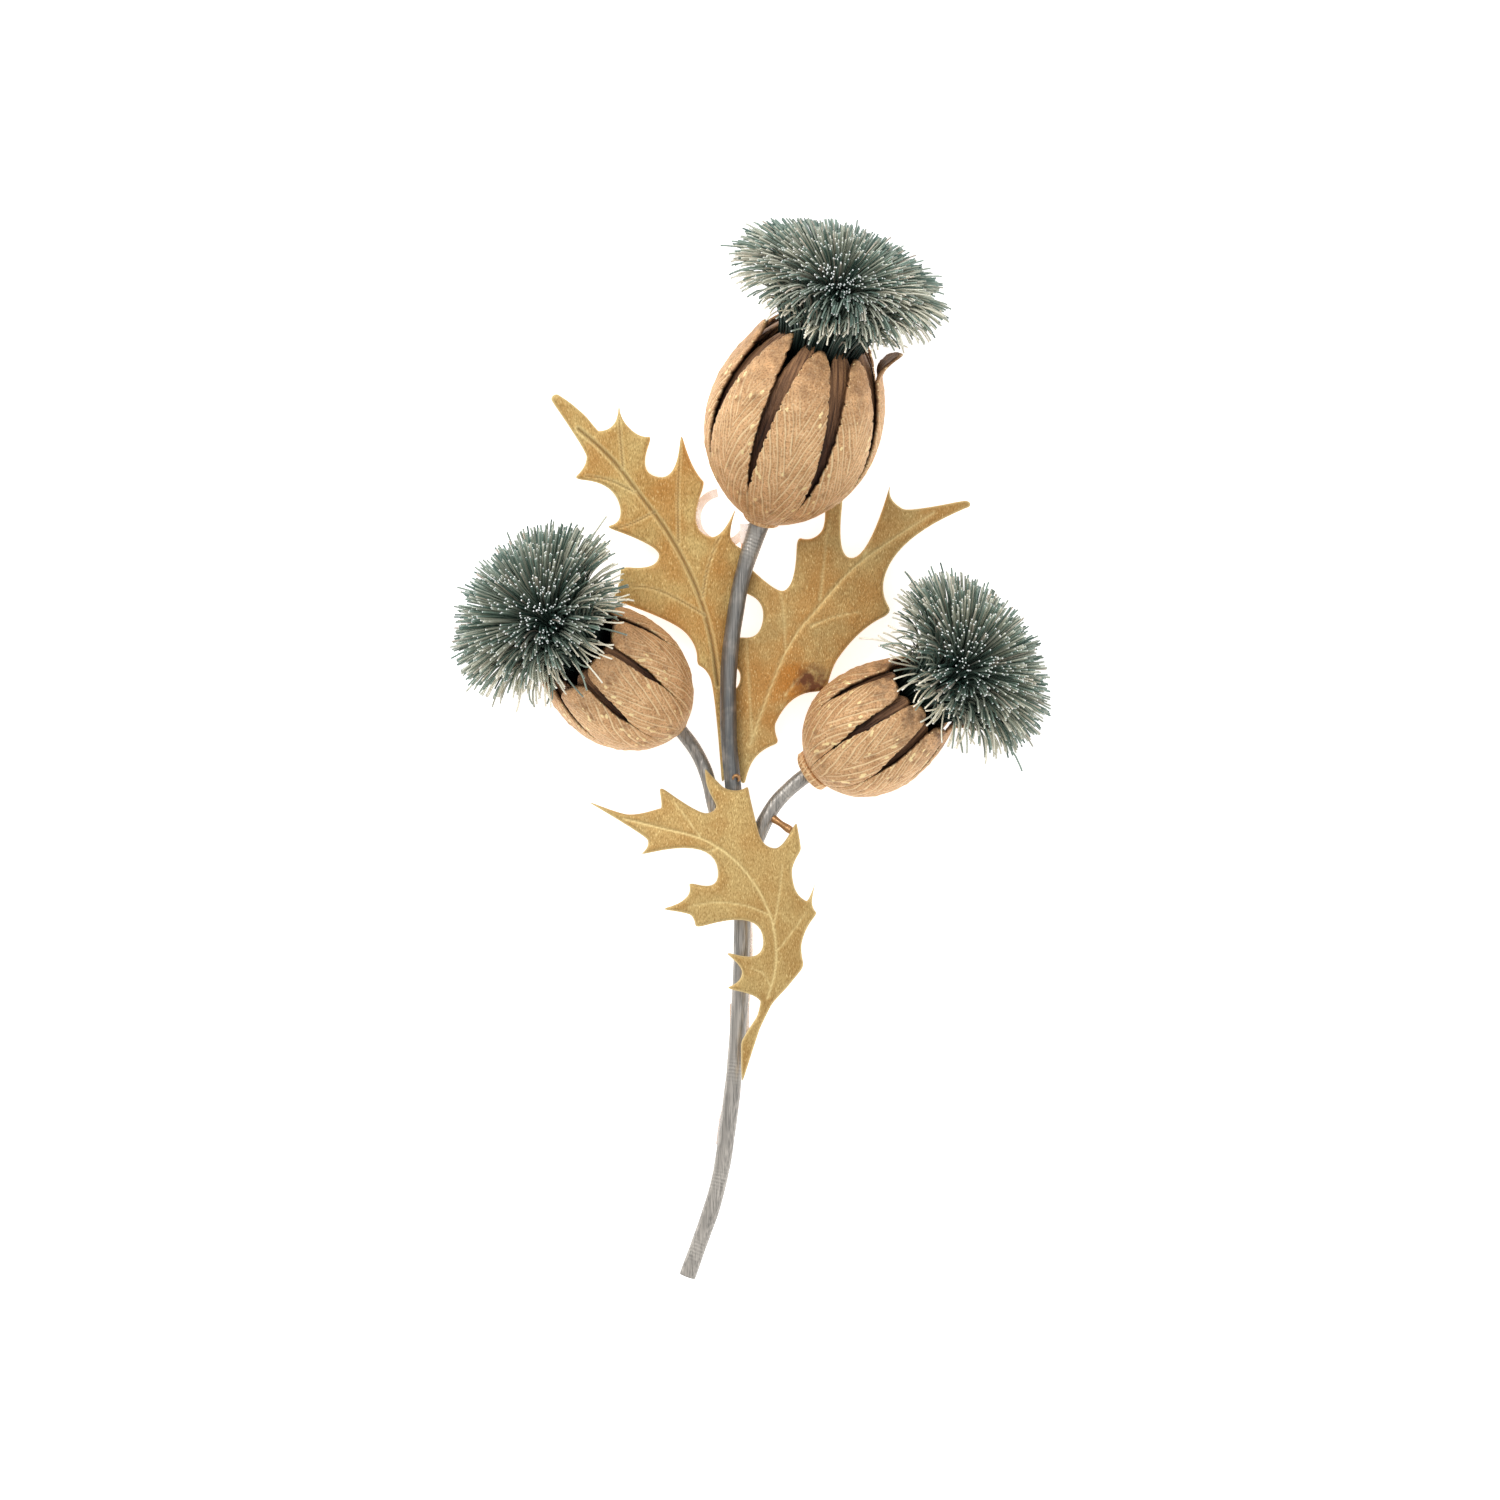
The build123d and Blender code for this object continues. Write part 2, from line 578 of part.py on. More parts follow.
whole = Compound([solid for piece in pieces.values() for solid in piece.solids()]).bounding_box()
shift = Pos(-whole.center().X, -whole.center().Y, -whole.min.Z)
os.makedirs("parts", exist_ok=True)
for name, piece in pieces.items():
    export_step(shift * piece, "parts/" + name + ".step")
    box = (shift * piece).bounding_box()
    print(name, len(piece.solids()), round(piece.volume, 1), box.min, box.max)
print("joint", shift.position)
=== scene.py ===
import math

import bpy
import numpy as np
from mathutils.geometry import delaunay_2d_cdt
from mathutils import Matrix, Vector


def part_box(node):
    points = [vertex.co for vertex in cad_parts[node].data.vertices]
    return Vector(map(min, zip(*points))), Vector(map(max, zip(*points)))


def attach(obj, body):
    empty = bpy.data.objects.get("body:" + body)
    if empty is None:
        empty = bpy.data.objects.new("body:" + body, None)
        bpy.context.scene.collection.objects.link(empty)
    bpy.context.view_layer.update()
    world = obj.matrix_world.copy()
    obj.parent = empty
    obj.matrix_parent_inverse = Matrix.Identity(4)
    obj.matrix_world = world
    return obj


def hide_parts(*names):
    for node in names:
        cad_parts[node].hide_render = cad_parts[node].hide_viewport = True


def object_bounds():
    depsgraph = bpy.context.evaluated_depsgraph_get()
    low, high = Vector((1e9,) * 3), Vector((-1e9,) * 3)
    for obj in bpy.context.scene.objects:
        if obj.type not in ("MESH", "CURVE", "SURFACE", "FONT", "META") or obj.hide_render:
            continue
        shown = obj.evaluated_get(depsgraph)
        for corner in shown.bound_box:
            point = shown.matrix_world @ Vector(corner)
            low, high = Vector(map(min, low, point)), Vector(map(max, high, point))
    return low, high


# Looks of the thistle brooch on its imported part. Lengths are millimetres and angles degrees
# until a mesh is made, and places are taken from the joint of the stems unless said otherwise.
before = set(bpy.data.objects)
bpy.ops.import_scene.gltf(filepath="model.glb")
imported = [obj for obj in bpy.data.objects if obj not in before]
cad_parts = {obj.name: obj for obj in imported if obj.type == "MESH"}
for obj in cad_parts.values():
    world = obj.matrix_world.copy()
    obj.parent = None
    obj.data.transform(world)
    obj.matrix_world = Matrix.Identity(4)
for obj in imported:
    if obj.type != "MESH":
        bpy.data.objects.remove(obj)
cadBox = [list(corner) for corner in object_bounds()]
millimetre = 0.001

# Heads: heading is turned from X in the plane of the brooch, tilt leans the head out of its front.
# A tuft's rings, from its top down, are shares of its radius and of its height over the mouth.
flatRings = ((0.0, 1.0), (0.17, 0.96), (0.46, 0.87), (0.76, 0.75), (0.96, 0.62), (1.0, 0.47), (0.95, 0.36))
roundRings = ((0.0, 1.0), (0.20, 0.98), (0.54, 0.91), (0.84, 0.74), (0.98, 0.54), (1.0, 0.35), (0.95, 0.22))
mainHead = dict(
    name="main", footOut=2.65, footUp=25.3, heading=71.3, tilt=25.0, collar=1.8, neck=2.0,
    footLength=0.55, bulb=8.4, length=18.9, belly=0.57, mouth=5.9, bracts=8, slitTurn=-17.0,
    slitStart=0.27, slitWidth=1.2, opening=0.8, narrowing=0.5, roundTip=1.6, blunt=2.6, innerRise=0.9,
    innerLonger=2.5, innerTurn=6.0, lean=0.0, stain=0.15,
    longer=(1.6, 1.3, 1.7, 0.3, 0.2, 0.3, 1.1, 1.9), curl=(0.1, 0.2, 3.3, 0.3, 0.2, 0.3, 0.7, 0.1),
    tuftRadius=11.2, tuftHeight=31.3, rings=flatRings, parting=0.46, droop=1.2, crater=0.32, fallen=0.3,
    wires=1700, rows=118, seed=3)
leftHead = dict(
    name="left", footOut=-5.33, footUp=5.62, heading=141.0, tilt=32.0, collar=1.45, neck=1.6,
    footLength=0.3, bulb=6.35, length=14.9, belly=0.55, mouth=4.6, bracts=8, slitTurn=20.0,
    slitStart=0.3, slitWidth=0.5, opening=4.5, narrowing=0.1, roundTip=1.4, blunt=4.0, innerRise=0.5,
    innerLonger=-1.4, innerTurn=0.0, lean=0.0, stain=0.3,
    longer=(-0.5, 0.0, 0.0, 0.0, 0.0, -0.4, -0.9, -0.3), curl=(0.1, 0.2, 0.1, 0.1, 0.1, 0.1, 0.1, 0.0),
    tuftRadius=9.7, tuftHeight=26.4, rings=roundRings, parting=0.3, droop=0.6, crater=0.22, fallen=1.0,
    wires=1500, rows=96, seed=5)
rightHead = dict(
    name="right", footOut=7.34, footUp=1.19, heading=34.3, tilt=20.0, collar=2.05, neck=1.75,
    footLength=0.8, bulb=6.1, length=14.1, belly=0.52, mouth=4.3, bracts=8, slitTurn=-7.0,
    slitStart=0.27, slitWidth=0.7, opening=3.0, narrowing=0.15, roundTip=1.4, blunt=3.6, innerRise=0.5,
    innerLonger=-1.2, innerTurn=0.0, lean=-16.0, stain=0.6,
    longer=(0.3, 0.2, 2.2, 0.0, 0.0, 0.0, -0.5, -0.5), curl=(0.1, 0.4, 2.9, 0.3, 0.1, 0.1, 0.1, 0.1),
    tuftRadius=9.9, tuftHeight=26.0, rings=roundRings, parting=0.32, droop=0.7, crater=0.22, fallen=0.9,
    wires=1500, rows=96, seed=7)
heads = (mainHead, leftHead, rightHead)

# Walls and clearances
bractWall = 0.45
innerBractWall = 0.35
whorlGap = 0.2
footFloor = 0.9
leafThickness = 0.6
solderGap = 0.06
leafGap = 0.1
leafParting = 0.2
tipRounding = 1.1
tuftFit = 0.12

# Stems, and the rows of their routes. The main stem's rows are shares of its rise and lean, its
# tail's of the drop, the lean and the sink, and a side stem's of the way up, out and down to its bulb.
stemDiameter = 1.6
stemRise = 25.3
stemLean = 2.65
tailLength = 46.95
tailLean = -4.38
tailEndHeight = 2.4
flareDiameter = 2.0
flareLength = 5.0
recessDiameter = 1.0
recessDepth = 0.6
leftStemDiameter = 1.35
leftForkDrop = 10.5
rightStemDiameter = 1.5
rightForkDrop = 10.0
beadDiameter = 0.95
beadPlace = (0.3, 0.6)
barDiameter = 0.7
barStart = (3.4, -2.9)
barEnd = (5.6, -4.4)
stemRows = ((0.171, -0.16), (0.456, -0.19), (0.78, 0.28), (1.0, 1.0))
tailRows = (
    (0.172, -0.185, 0.03), (0.33, -0.205, 0.11), (0.50, -0.115, 0.25), (0.66, 0.055, 0.43),
    (0.82, 0.305, 0.66), (1.0, 1.0, 1.0))
leftRows = ((0.266, 0.24, 0.06), (0.5, 0.42, 0.22), (0.71, 0.53, 0.48), (0.86, 0.71, 0.76), (1.0, 1.0, 1.0))
rightRows = ((0.3, 0.13, 0.05), (0.56, 0.31, 0.2), (0.75, 0.5, 0.45), (0.9, 0.77, 0.75), (1.0, 1.0, 1.0))

# The pin's block and open hook, from which the joint's place in the frame is found
blockDrop = 1.3
blockSide = -0.8
blockWidth = 1.5
hookUp = 0.2
hookRadius = 2.85
hookOpenTo = 100.0

# Leaves: side is -1 for a leaf that spreads to the left. Bend is the radius it is bent to across,
# and crest how far out it is highest; arch and archUp are the same along it. Seat is the share of
# the stem's lean where it touches the stem. Glow, dusk and shade are weights in its colours.
leftLeaf = dict(
    name="upper_left_leaf", side=-1, height=37.5, spread=16.9, baseOut=0.48, baseUp=-0.2, bend=58.0,
    crest=7.6, seat=-0.19, glow=0.55, dusk=0.25, shade=0.9, seed=11)
rightLeaf = dict(
    name="upper_right_leaf", side=1, height=29.1, spread=22.2, baseOut=0.48, baseUp=-0.2, bend=64.0,
    crest=9.3, seat=0.6, glow=0.4, dusk=0.85, shade=0.3, seed=12)
lowerLeaf = dict(
    name="lower_leaf", side=-1, height=30.1, spread=15.0, baseOut=-0.86, baseUp=-28.5, bend=45.0,
    crest=-0.5, arch=70.0, archUp=0.545, glow=0.12, dusk=0.6, shade=0.1, seed=13)

# Leaf outlines: each row is a lobe's tip and the hollow after it. The columns are tip up, tip out,
# hollow up, hollow out, and how round the hollow is toward that tip and toward the next one. Up is
# a share of the leaf's height and out of its spread.
leftLeafRows = (
    (0.000, 0.034, 0.221, -0.113, 0.10, 0.10),
    (0.604, -0.085, 0.632, -0.017, 0.30, 0.20),
    (0.718, -0.051, 0.638, 0.113, 0.30, 0.40),
    (0.774, 0.130, 0.812, 0.192, 0.50, 0.30),
    (0.904, 0.266, 0.789, 0.390, 0.35, 0.50),
    (0.893, 0.429, 0.904, 0.531, 0.50, 0.50),
    (0.977, 0.616, 0.906, 0.729, 0.50, 0.05),
    (0.944, 0.802, 0.977, 0.887, 0.20, 0.20),
    (1.000, 0.960, 0.997, 0.989, 0.40, 0.40),
    (0.985, 1.000, 0.840, 0.799, 0.08, 0.35),
    (0.784, 0.876, 0.711, 0.610, 0.45, 0.60),
    (0.662, 0.695, 0.589, 0.390, 0.15, 0.35),
    (0.561, 0.605, 0.520, 0.616, 0.30, 0.30),
    (0.477, 0.655, 0.391, 0.237, 0.20, 0.50),
    (0.312, 0.175, 0.279, 0.102, 0.50, 0.10),
)
rightLeafRows = (
    (0.000, 0.026, 0.095, 0.073, 0.30, 0.40),
    (0.144, 0.176, 0.212, 0.163, 0.30, 0.55),
    (0.314, 0.378, 0.425, 0.433, 0.30, 0.50),
    (0.572, 0.665, 0.709, 0.639, 0.50, 0.35),
    (0.915, 0.979, 0.928, 1.000, 0.40, 0.40),
    (0.941, 0.974, 0.913, 0.708, 0.10, 0.60),
    (1.000, 0.657, 0.752, 0.481, 0.20, 0.22),
    (0.948, 0.451, 0.961, 0.412, 0.40, 0.40),
    (0.931, 0.373, 0.833, 0.352, 0.25, 0.50),
    (0.820, 0.253, 0.644, 0.197, 0.22, 0.15),
    (0.745, 0.017, 0.690, 0.017, 0.30, 0.30),
    (0.644, 0.000, 0.552, 0.107, 0.50, 0.65),
    (0.493, -0.004, 0.441, -0.013, 0.30, 0.30),
    (0.392, -0.009, 0.356, 0.009, 0.50, 0.50),
    (0.317, -0.021, 0.154, -0.112, 0.10, 0.10),
)
lowerLeafRows = (
    (0.000, 0.000, 0.177, -0.115, 0.10, 0.10),
    (0.256, -0.191, 0.307, -0.287, 0.10, 0.10),
    (0.373, -0.395, 0.446, -0.379, 0.30, 0.40),
    (0.541, -0.478, 0.570, -0.446, 0.50, 0.20),
    (0.642, -0.468, 0.585, -0.420, 0.20, 0.20),
    (0.579, -0.408, 0.671, -0.318, 0.60, 0.30),
    (0.741, -0.376, 0.785, -0.363, 0.30, 0.30),
    (0.832, -0.344, 0.747, -0.210, 0.20, 0.40),
    (0.829, -0.089, 0.902, -0.054, 0.20, 0.30),
    (0.943, -0.038, 0.930, 0.057, 0.45, 0.50),
    (0.953, 0.146, 0.972, 0.185, 0.30, 0.30),
    (1.000, 0.236, 0.946, 0.223, 0.30, 0.30),
    (0.880, 0.159, 0.858, 0.229, 0.50, 0.15),
    (0.946, 0.529, 0.873, 0.516, 0.10, 0.10),
    (0.873, 0.522, 0.854, 0.726, 0.30, 0.15),
    (0.899, 1.000, 0.772, 0.599, 0.05, 0.40),
    (0.725, 0.650, 0.674, 0.153, 0.42, 0.60),
    (0.639, 0.338, 0.598, 0.344, 0.40, 0.30),
    (0.554, 0.516, 0.535, 0.325, 0.10, 0.30),
    (0.494, 0.293, 0.456, -0.134, 0.45, 0.55),
    (0.421, 0.115, 0.354, 0.000, 0.20, 0.40),
    (0.304, 0.108, 0.263, -0.115, 0.20, 0.10),
    (0.215, -0.096, 0.171, -0.038, 0.20, 0.30),
    (0.133, 0.006, 0.070, 0.006, 0.30, 0.30),
)

# Veins, each with how deep it is cut, how wide it is, and its route across and up from the joint
leftVeins = (
    (0.2, 0.17, (
        (-14.8, 34.0), (-12.9, 32.4), (-11.0, 30.5), (-8.9, 27.6), (-6.8, 25.0), (-4.9, 21.9),
        (-3.3, 18.4), (-2.4, 15.5), (-1.8, 12.7), (-1.4, 9.5))),
    (0.11, 0.11, ((-10.5, 30.2), (-10.8, 33.6), (-10.9, 35.5))),
    (0.11, 0.11, ((-9.3, 27.9), (-11.9, 29.2), (-14.1, 29.5))),
    (0.11, 0.11, ((-5.2, 23.1), (-5.3, 27.6), (-5.0, 32.7))),
    (0.09, 0.1, ((-7.4, 26.1), (-9.6, 24.9), (-11.4, 24.4))),
    (0.1, 0.1, ((-2.9, 17.8), (-2.4, 21.2), (-0.6, 25.2))),
    (0.11, 0.11, ((-2.7, 16.2), (-4.6, 17.4), (-7.4, 18.8), (-9.8, 19.0))),
)
rightVeins = (
    (0.15, 0.15, (
        (1.6, 3.8), (3.1, 8.1), (5.4, 13.8), (8.3, 17.1), (11.1, 20.5), (15.0, 23.3), (19.2, 26.0))),
    (0.11, 0.11, ((7.5, 15.2), (9.6, 16.1), (12.1, 16.5))),
    (0.11, 0.11, ((8.3, 17.6), (8.6, 20.3), (8.9, 23.3), (9.3, 25.2))),
    (0.11, 0.11, ((5.0, 12.9), (4.9, 15.6), (4.6, 18.4), (3.7, 19.8))),
    (0.1, 0.1, ((1.8, 4.6), (1.6, 8.1), (1.3, 13.8))),
    (0.1, 0.1, ((5.0, 8.6), (6.2, 10.2), (7.5, 10.9))),
    (0.1, 0.1, ((12.4, 21.6), (13.3, 23.6), (14.2, 26.3))),
)
lowerVeins = (
    (0.14, 0.15, (
        (3.3, -20.3), (4.2, -17.3), (4.0, -14.1), (3.5, -12.1), (2.2, -9.6), (0.6, -7.5),
        (-1.4, -5.9), (-3.4, -4.9), (-7.0, -4.1), (-10.5, -3.2))),
    (0.11, 0.11, ((3.8, -13.8), (4.4, -10.8), (4.7, -7.6))),
    (0.11, 0.11, ((4.3, -15.7), (5.5, -14.2), (7.0, -12.1))),
    (0.11, 0.11, ((3.5, -12.4), (1.2, -11.4), (-1.7, -11.1), (-4.2, -11.6))),
    (0.1, 0.1, ((3.5, -19.0), (3.0, -17.9), (1.6, -17.4))),
    (0.1, 0.1, ((-3.1, -5.0), (-4.6, -2.9), (-5.8, -1.4))),
    (0.1, 0.1, ((-1.4, -6.0), (-4.0, -7.0), (-6.9, -7.1))),
)


# Shapes shared by the pieces

def unit(rows):
    return rows / np.linalg.norm(rows, axis=-1, keepdims=True)


def bump(distance, width):
    return np.exp(-(distance / width) ** 2)


def around(columns):
    return np.linspace(0, 2 * math.pi, columns, endpoint=False)


def curved(share, start, middle, end):
    # A curve from start to end that leaves and arrives along the runs to middle
    return (1 - share) ** 2 * start + 2 * share * (1 - share) * middle + share ** 2 * end


def aboutSpot(points, spot, width):
    # A bump about a spot in the plane of the brooch
    return bump(np.linalg.norm(points[:, :2] - spot, axis=1), width)


def withPoles(grid):
    # Every stack's grid laid flat, with the middles of its first and last rings after it
    count, rows, columns = grid.shape[:3]
    body = grid.reshape(count, rows * columns, -1)
    ends = np.stack([grid[:, 0].mean(1), grid[:, -1].mean(1)], 1).reshape(count, 2, -1)
    flat = np.concatenate([body, ends], 1)
    return flat.reshape(-1, 3) if grid.ndim == 4 else flat.ravel()


def ringSkins(rings, values):
    # Closed skins over stacks of rings that turn anticlockwise seen from the last one. Values may
    # be single numbers or grids that spread over the stacks, their rings and the points of each.
    count, rows, columns = rings.shape[:3]
    column = np.arange(columns)
    after = (column + 1) % columns
    row = np.arange(rows - 1)[:, None] * columns
    quads = np.stack([row + column, row + after, row + columns + after, row + columns + column], -1)
    last = (rows - 1) * columns
    foot = np.stack([np.full(columns, rows * columns), after, column], -1)
    crown = np.stack([np.full(columns, rows * columns + 1), last + column, last + after], -1)
    start = np.arange(count)[:, None, None] * (rows * columns + 2)
    faces = [(quads.reshape(1, -1, 4) + start).reshape(-1, 4),
             (np.concatenate([foot, crown])[None] + start).reshape(-1, 3)]
    flat = {key: withPoles(np.broadcast_to(value, rings.shape[:3])) for key, value in values.items()}
    return dict(points=withPoles(rings), faces=faces, values=flat)


def joined(skins):
    groups, start = {}, 0
    for skin in skins:
        for group in skin["faces"]:
            groups.setdefault(group.shape[1], []).append(group + start)
        start += len(skin["points"])
    keys = skins[0]["values"]
    return dict(
        points=np.concatenate([skin["points"] for skin in skins]),
        faces=[np.concatenate(group) for group in groups.values()],
        values={key: np.concatenate([skin["values"][key] for skin in skins]) for key in keys})


def placed(name, data):
    item = bpy.data.objects.new(name, data)
    bpy.context.scene.collection.objects.link(item)
    return item


def addPiece(name, node, skin, surface):
    # One mesh from a skin, shown in place of its CAD node
    mesh = bpy.data.meshes.new(name)
    corners = np.concatenate([group.ravel() for group in skin["faces"]])
    sizes = np.concatenate([np.full(len(group), group.shape[1]) for group in skin["faces"]])
    starts = np.concatenate([[0], np.cumsum(sizes)[:-1]])
    mesh.vertices.add(len(skin["points"]))
    mesh.vertices.foreach_set("co", (skin["points"] * millimetre).astype(np.float32).ravel())
    mesh.loops.add(len(corners))
    mesh.loops.foreach_set("vertex_index", corners.astype(np.int32))
    mesh.polygons.add(len(sizes))
    mesh.polygons.foreach_set("loop_start", starts.astype(np.int32))
    mesh.update(calc_edges=True)
    mesh.polygons.foreach_set("use_smooth", np.ones(len(sizes), bool))
    for key, value in skin["values"].items():
        layer = mesh.attributes.new(key, "FLOAT", "POINT")
        layer.data.foreach_set("value", value.astype(np.float32))
    mesh.materials.append(surface)
    piece = placed(name, mesh)
    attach(piece, "root")
    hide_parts(node)
    print(name, "triangles", int((sizes - 2).sum()))


def cornerCut(route, rounds=3):
    # Softens a route by cutting each corner a quarter of the way along its runs, a few times over
    route = np.array(route, float)
    for _ in range(rounds):
        near, far = 0.75 * route[:-1] + 0.25 * route[1:], 0.25 * route[:-1] + 0.75 * route[1:]
        middle = np.stack([near, far], 1).reshape(-1, route.shape[1])
        route = np.concatenate([route[:1], middle, route[-1:]])
    return route


def distanceTo(points, starts, ends):
    # Distance from every point to the nearest of the straight runs between starts and ends
    run = ends - starts
    share = ((points[:, None] - starts) * run).sum(-1) / np.maximum((run ** 2).sum(-1), 1e-12)
    nearest = starts + np.clip(share, 0, 1)[..., None] * run
    return np.linalg.norm(points[:, None] - nearest, axis=-1)


def waves(*places):
    # A soft uneven field between -1 and 1: sines of unlike wavelengths across the given places
    field = 0
    for number, place in enumerate(places):
        bent = np.sin(place * 3.1 + 2.1 * field + number)
        field = field + np.sin(place * 1.7 + 1.3 * number) + 0.7 * bent
    return field / (1.7 * len(places))


# Places of the heads and stems

def wallRadius(head, height, inset=0.0):
    # The bulb's wall is a lower arc from the neck and an upper arc to the mouth, tangent at the belly
    belly = head["belly"] * head["length"]
    radii = []
    for endRadius, endHeight in ((head["neck"], head["footLength"]), (head["mouth"], head["length"])):
        out = head["bulb"] - endRadius
        arc = (out ** 2 + (belly - endHeight) ** 2) / (2 * out)
        radii.append(head["bulb"] - arc + np.sqrt((arc - inset) ** 2 - (height - belly) ** 2))
    return np.where(height < belly, *radii)


def footHeight(head):
    # Height of the foot's centre that lets the bulb rest on the surface
    tilt = math.radians(head["tilt"])
    height = np.linspace(head["footLength"], head["belly"] * head["length"], 1001)
    return float((wallRadius(head, height) * math.cos(tilt) - height * math.sin(tilt)).max())


def headFoot(head):
    return np.array((head["footOut"], head["footUp"], footHeight(head)))


def headAxes(head):
    # Rows: the side that faces the front, the side beside it, and the head's own direction
    heading, tilt = math.radians(head["heading"]), math.radians(head["tilt"])
    flat = math.cos(tilt)
    axis = np.array((flat * math.cos(heading), flat * math.sin(heading), math.sin(tilt)))
    front = unit(np.array((0, 0, 1)) - axis * axis[2])
    return np.array((front, np.cross(axis, front), axis))


stemHeight = footHeight(mainHead)


def onBrooch(points):
    return points + joint


def onHead(head, points):
    return onBrooch(headFoot(head) + points @ headAxes(head))


def turned(turn, radius, height):
    return np.stack(np.broadcast_arrays(radius * np.cos(turn), radius * np.sin(turn), height), -1)


rise, lean = np.array(stemRows).T
upPart = np.stack([stemLean * lean, stemRise * rise, np.full(len(rise), stemHeight)], -1)
drop, lean, sink = np.array(tailRows).T
tailHeight = stemHeight - (stemHeight - tailEndHeight) * sink
tailPart = np.stack([tailLean * lean, -tailLength * drop, tailHeight], -1)
mainPoints = np.concatenate([tailPart[::-1], [[0, 0, stemHeight]], upPart])


def mainStemAt(up):
    return np.stack([np.interp(up, mainPoints[:, 1], mainPoints[:, axis]) for axis in range(3)], -1)


def sidePoints(rows, forkDrop, head):
    fork = mainStemAt(-forkDrop)
    up, out, sink = np.array(rows).T
    share = np.stack([out, up, sink], -1)
    return np.concatenate([[fork], fork + (headFoot(head) - fork) * share])


leftPoints = sidePoints(leftRows, leftForkDrop, leftHead)
rightPoints = sidePoints(rightRows, rightForkDrop, rightHead)

# The pin's block and hook reach furthest right and up, and both hang on the main stem
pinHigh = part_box("pin")[1] / millimetre
blockRight = mainStemAt(stemRise - blockDrop)[0] + blockSide + blockWidth / 2
hookTop = stemRise + hookUp + hookRadius * math.sin(math.radians(hookOpenTo))
joint = np.array((pinHigh.x - blockRight, pinHigh.y - hookTop, 0))


# Materials: small helpers that add nodes to a tree, then one function for each surface

def fill(tree, node, inputs):
    for key, source in inputs.items():
        if isinstance(source, bpy.types.NodeSocket):
            tree.links.new(source, node.inputs[key])
        else:
            node.inputs[key].default_value = source


def put(tree, kind, inputs, **settings):
    node = tree.nodes.new(kind)
    for key, setting in settings.items():
        setattr(node, key, setting)
    fill(tree, node, inputs)
    return node


def calc(tree, operation, *sources):
    return put(tree, "ShaderNodeMath", dict(enumerate(sources)), operation=operation).outputs[0]


def times(tree, first, second):
    return calc(tree, "MULTIPLY", first, second)


def spread(tree, source, low, high, least=0.0, most=1.0):
    inputs = {"Value": source, "From Min": low, "From Max": high, "To Min": least, "To Max": most}
    return put(tree, "ShaderNodeMapRange", inputs).outputs["Result"]


def blend(tree, factor, first, second):
    # The first colour where the factor is 0 and the second where it is 1
    return put(tree, "ShaderNodeMix", {0: factor, 6: first, 7: second}, data_type="RGBA").outputs[2]


def gold(red, green, blue):
    # Colour as seen, from 0 to 255, turned into the light it reflects
    return tuple((channel / 255) ** 2.2 for channel in (red, green, blue)) + (1.0,)


def painted(tree, colour, *coats):
    # Coats laid on a colour in turn, each with its place, its strength and its own colour as seen
    for place, strength, tint in coats:
        colour = blend(tree, times(tree, place, strength), colour, gold(*tint))
    return colour


def read(tree, name):
    return put(tree, "ShaderNodeAttribute", {}, attribute_name=name).outputs["Fac"]


def noise(tree, place, detail):
    return put(tree, "ShaderNodeTexNoise", {"Vector": place, "Scale": 1.0, "Detail": detail}).outputs["Fac"]


def grain(tree, size, detail=2.0, stretch=(1, 1, 1), turn=0):
    # Noise whose features are about as large as size, longer along a stretched side
    scale = [1 / (millimetre * size * side) for side in stretch]
    place = put(tree, "ShaderNodeTexCoord", {}).outputs["Object"]
    inputs = {"Vector": place, "Rotation": (0, 0, math.radians(turn)), "Scale": scale}
    return noise(tree, put(tree, "ShaderNodeMapping", inputs).outputs[0], detail)


def noiseAt(tree, *places, detail=2.0):
    # Noise over three values, each multiplied by a number of its own
    sides = [times(tree, place, size) for place, size in places]
    return noise(tree, put(tree, "ShaderNodeCombineXYZ", dict(enumerate(sides))).outputs[0], detail)


def weighted(tree, *parts):
    # Sum of values that are each multiplied by a number of their own
    total = 0.0
    for part, weight in parts:
        total = calc(tree, "MULTIPLY_ADD", part, weight, total)
    return total


def engraved(tree, place, width):
    # Thin lines wherever place is a whole number
    return spread(tree, calc(tree, "PINGPONG", place, 0.5), 0.0, width, 1.0, 0.0)


def startSurface(name):
    surface = bpy.data.materials.new(name)
    surface.use_nodes = True
    return surface, surface.node_tree


def finishSurface(tree, colour, metal, rough, relief=None, depth=0.05):
    # Fills the surface's shader; relief is a height of 0 to 1 that stands for depth in millimetres
    settings = {"Base Color": colour, "Metallic": metal, "Roughness": rough}
    if relief is not None:
        inputs = {"Height": relief, "Strength": 1.0, "Distance": depth * millimetre}
        settings["Normal"] = put(tree, "ShaderNodeBump", inputs).outputs[0]
    fill(tree, tree.nodes["Principled BSDF"], settings)


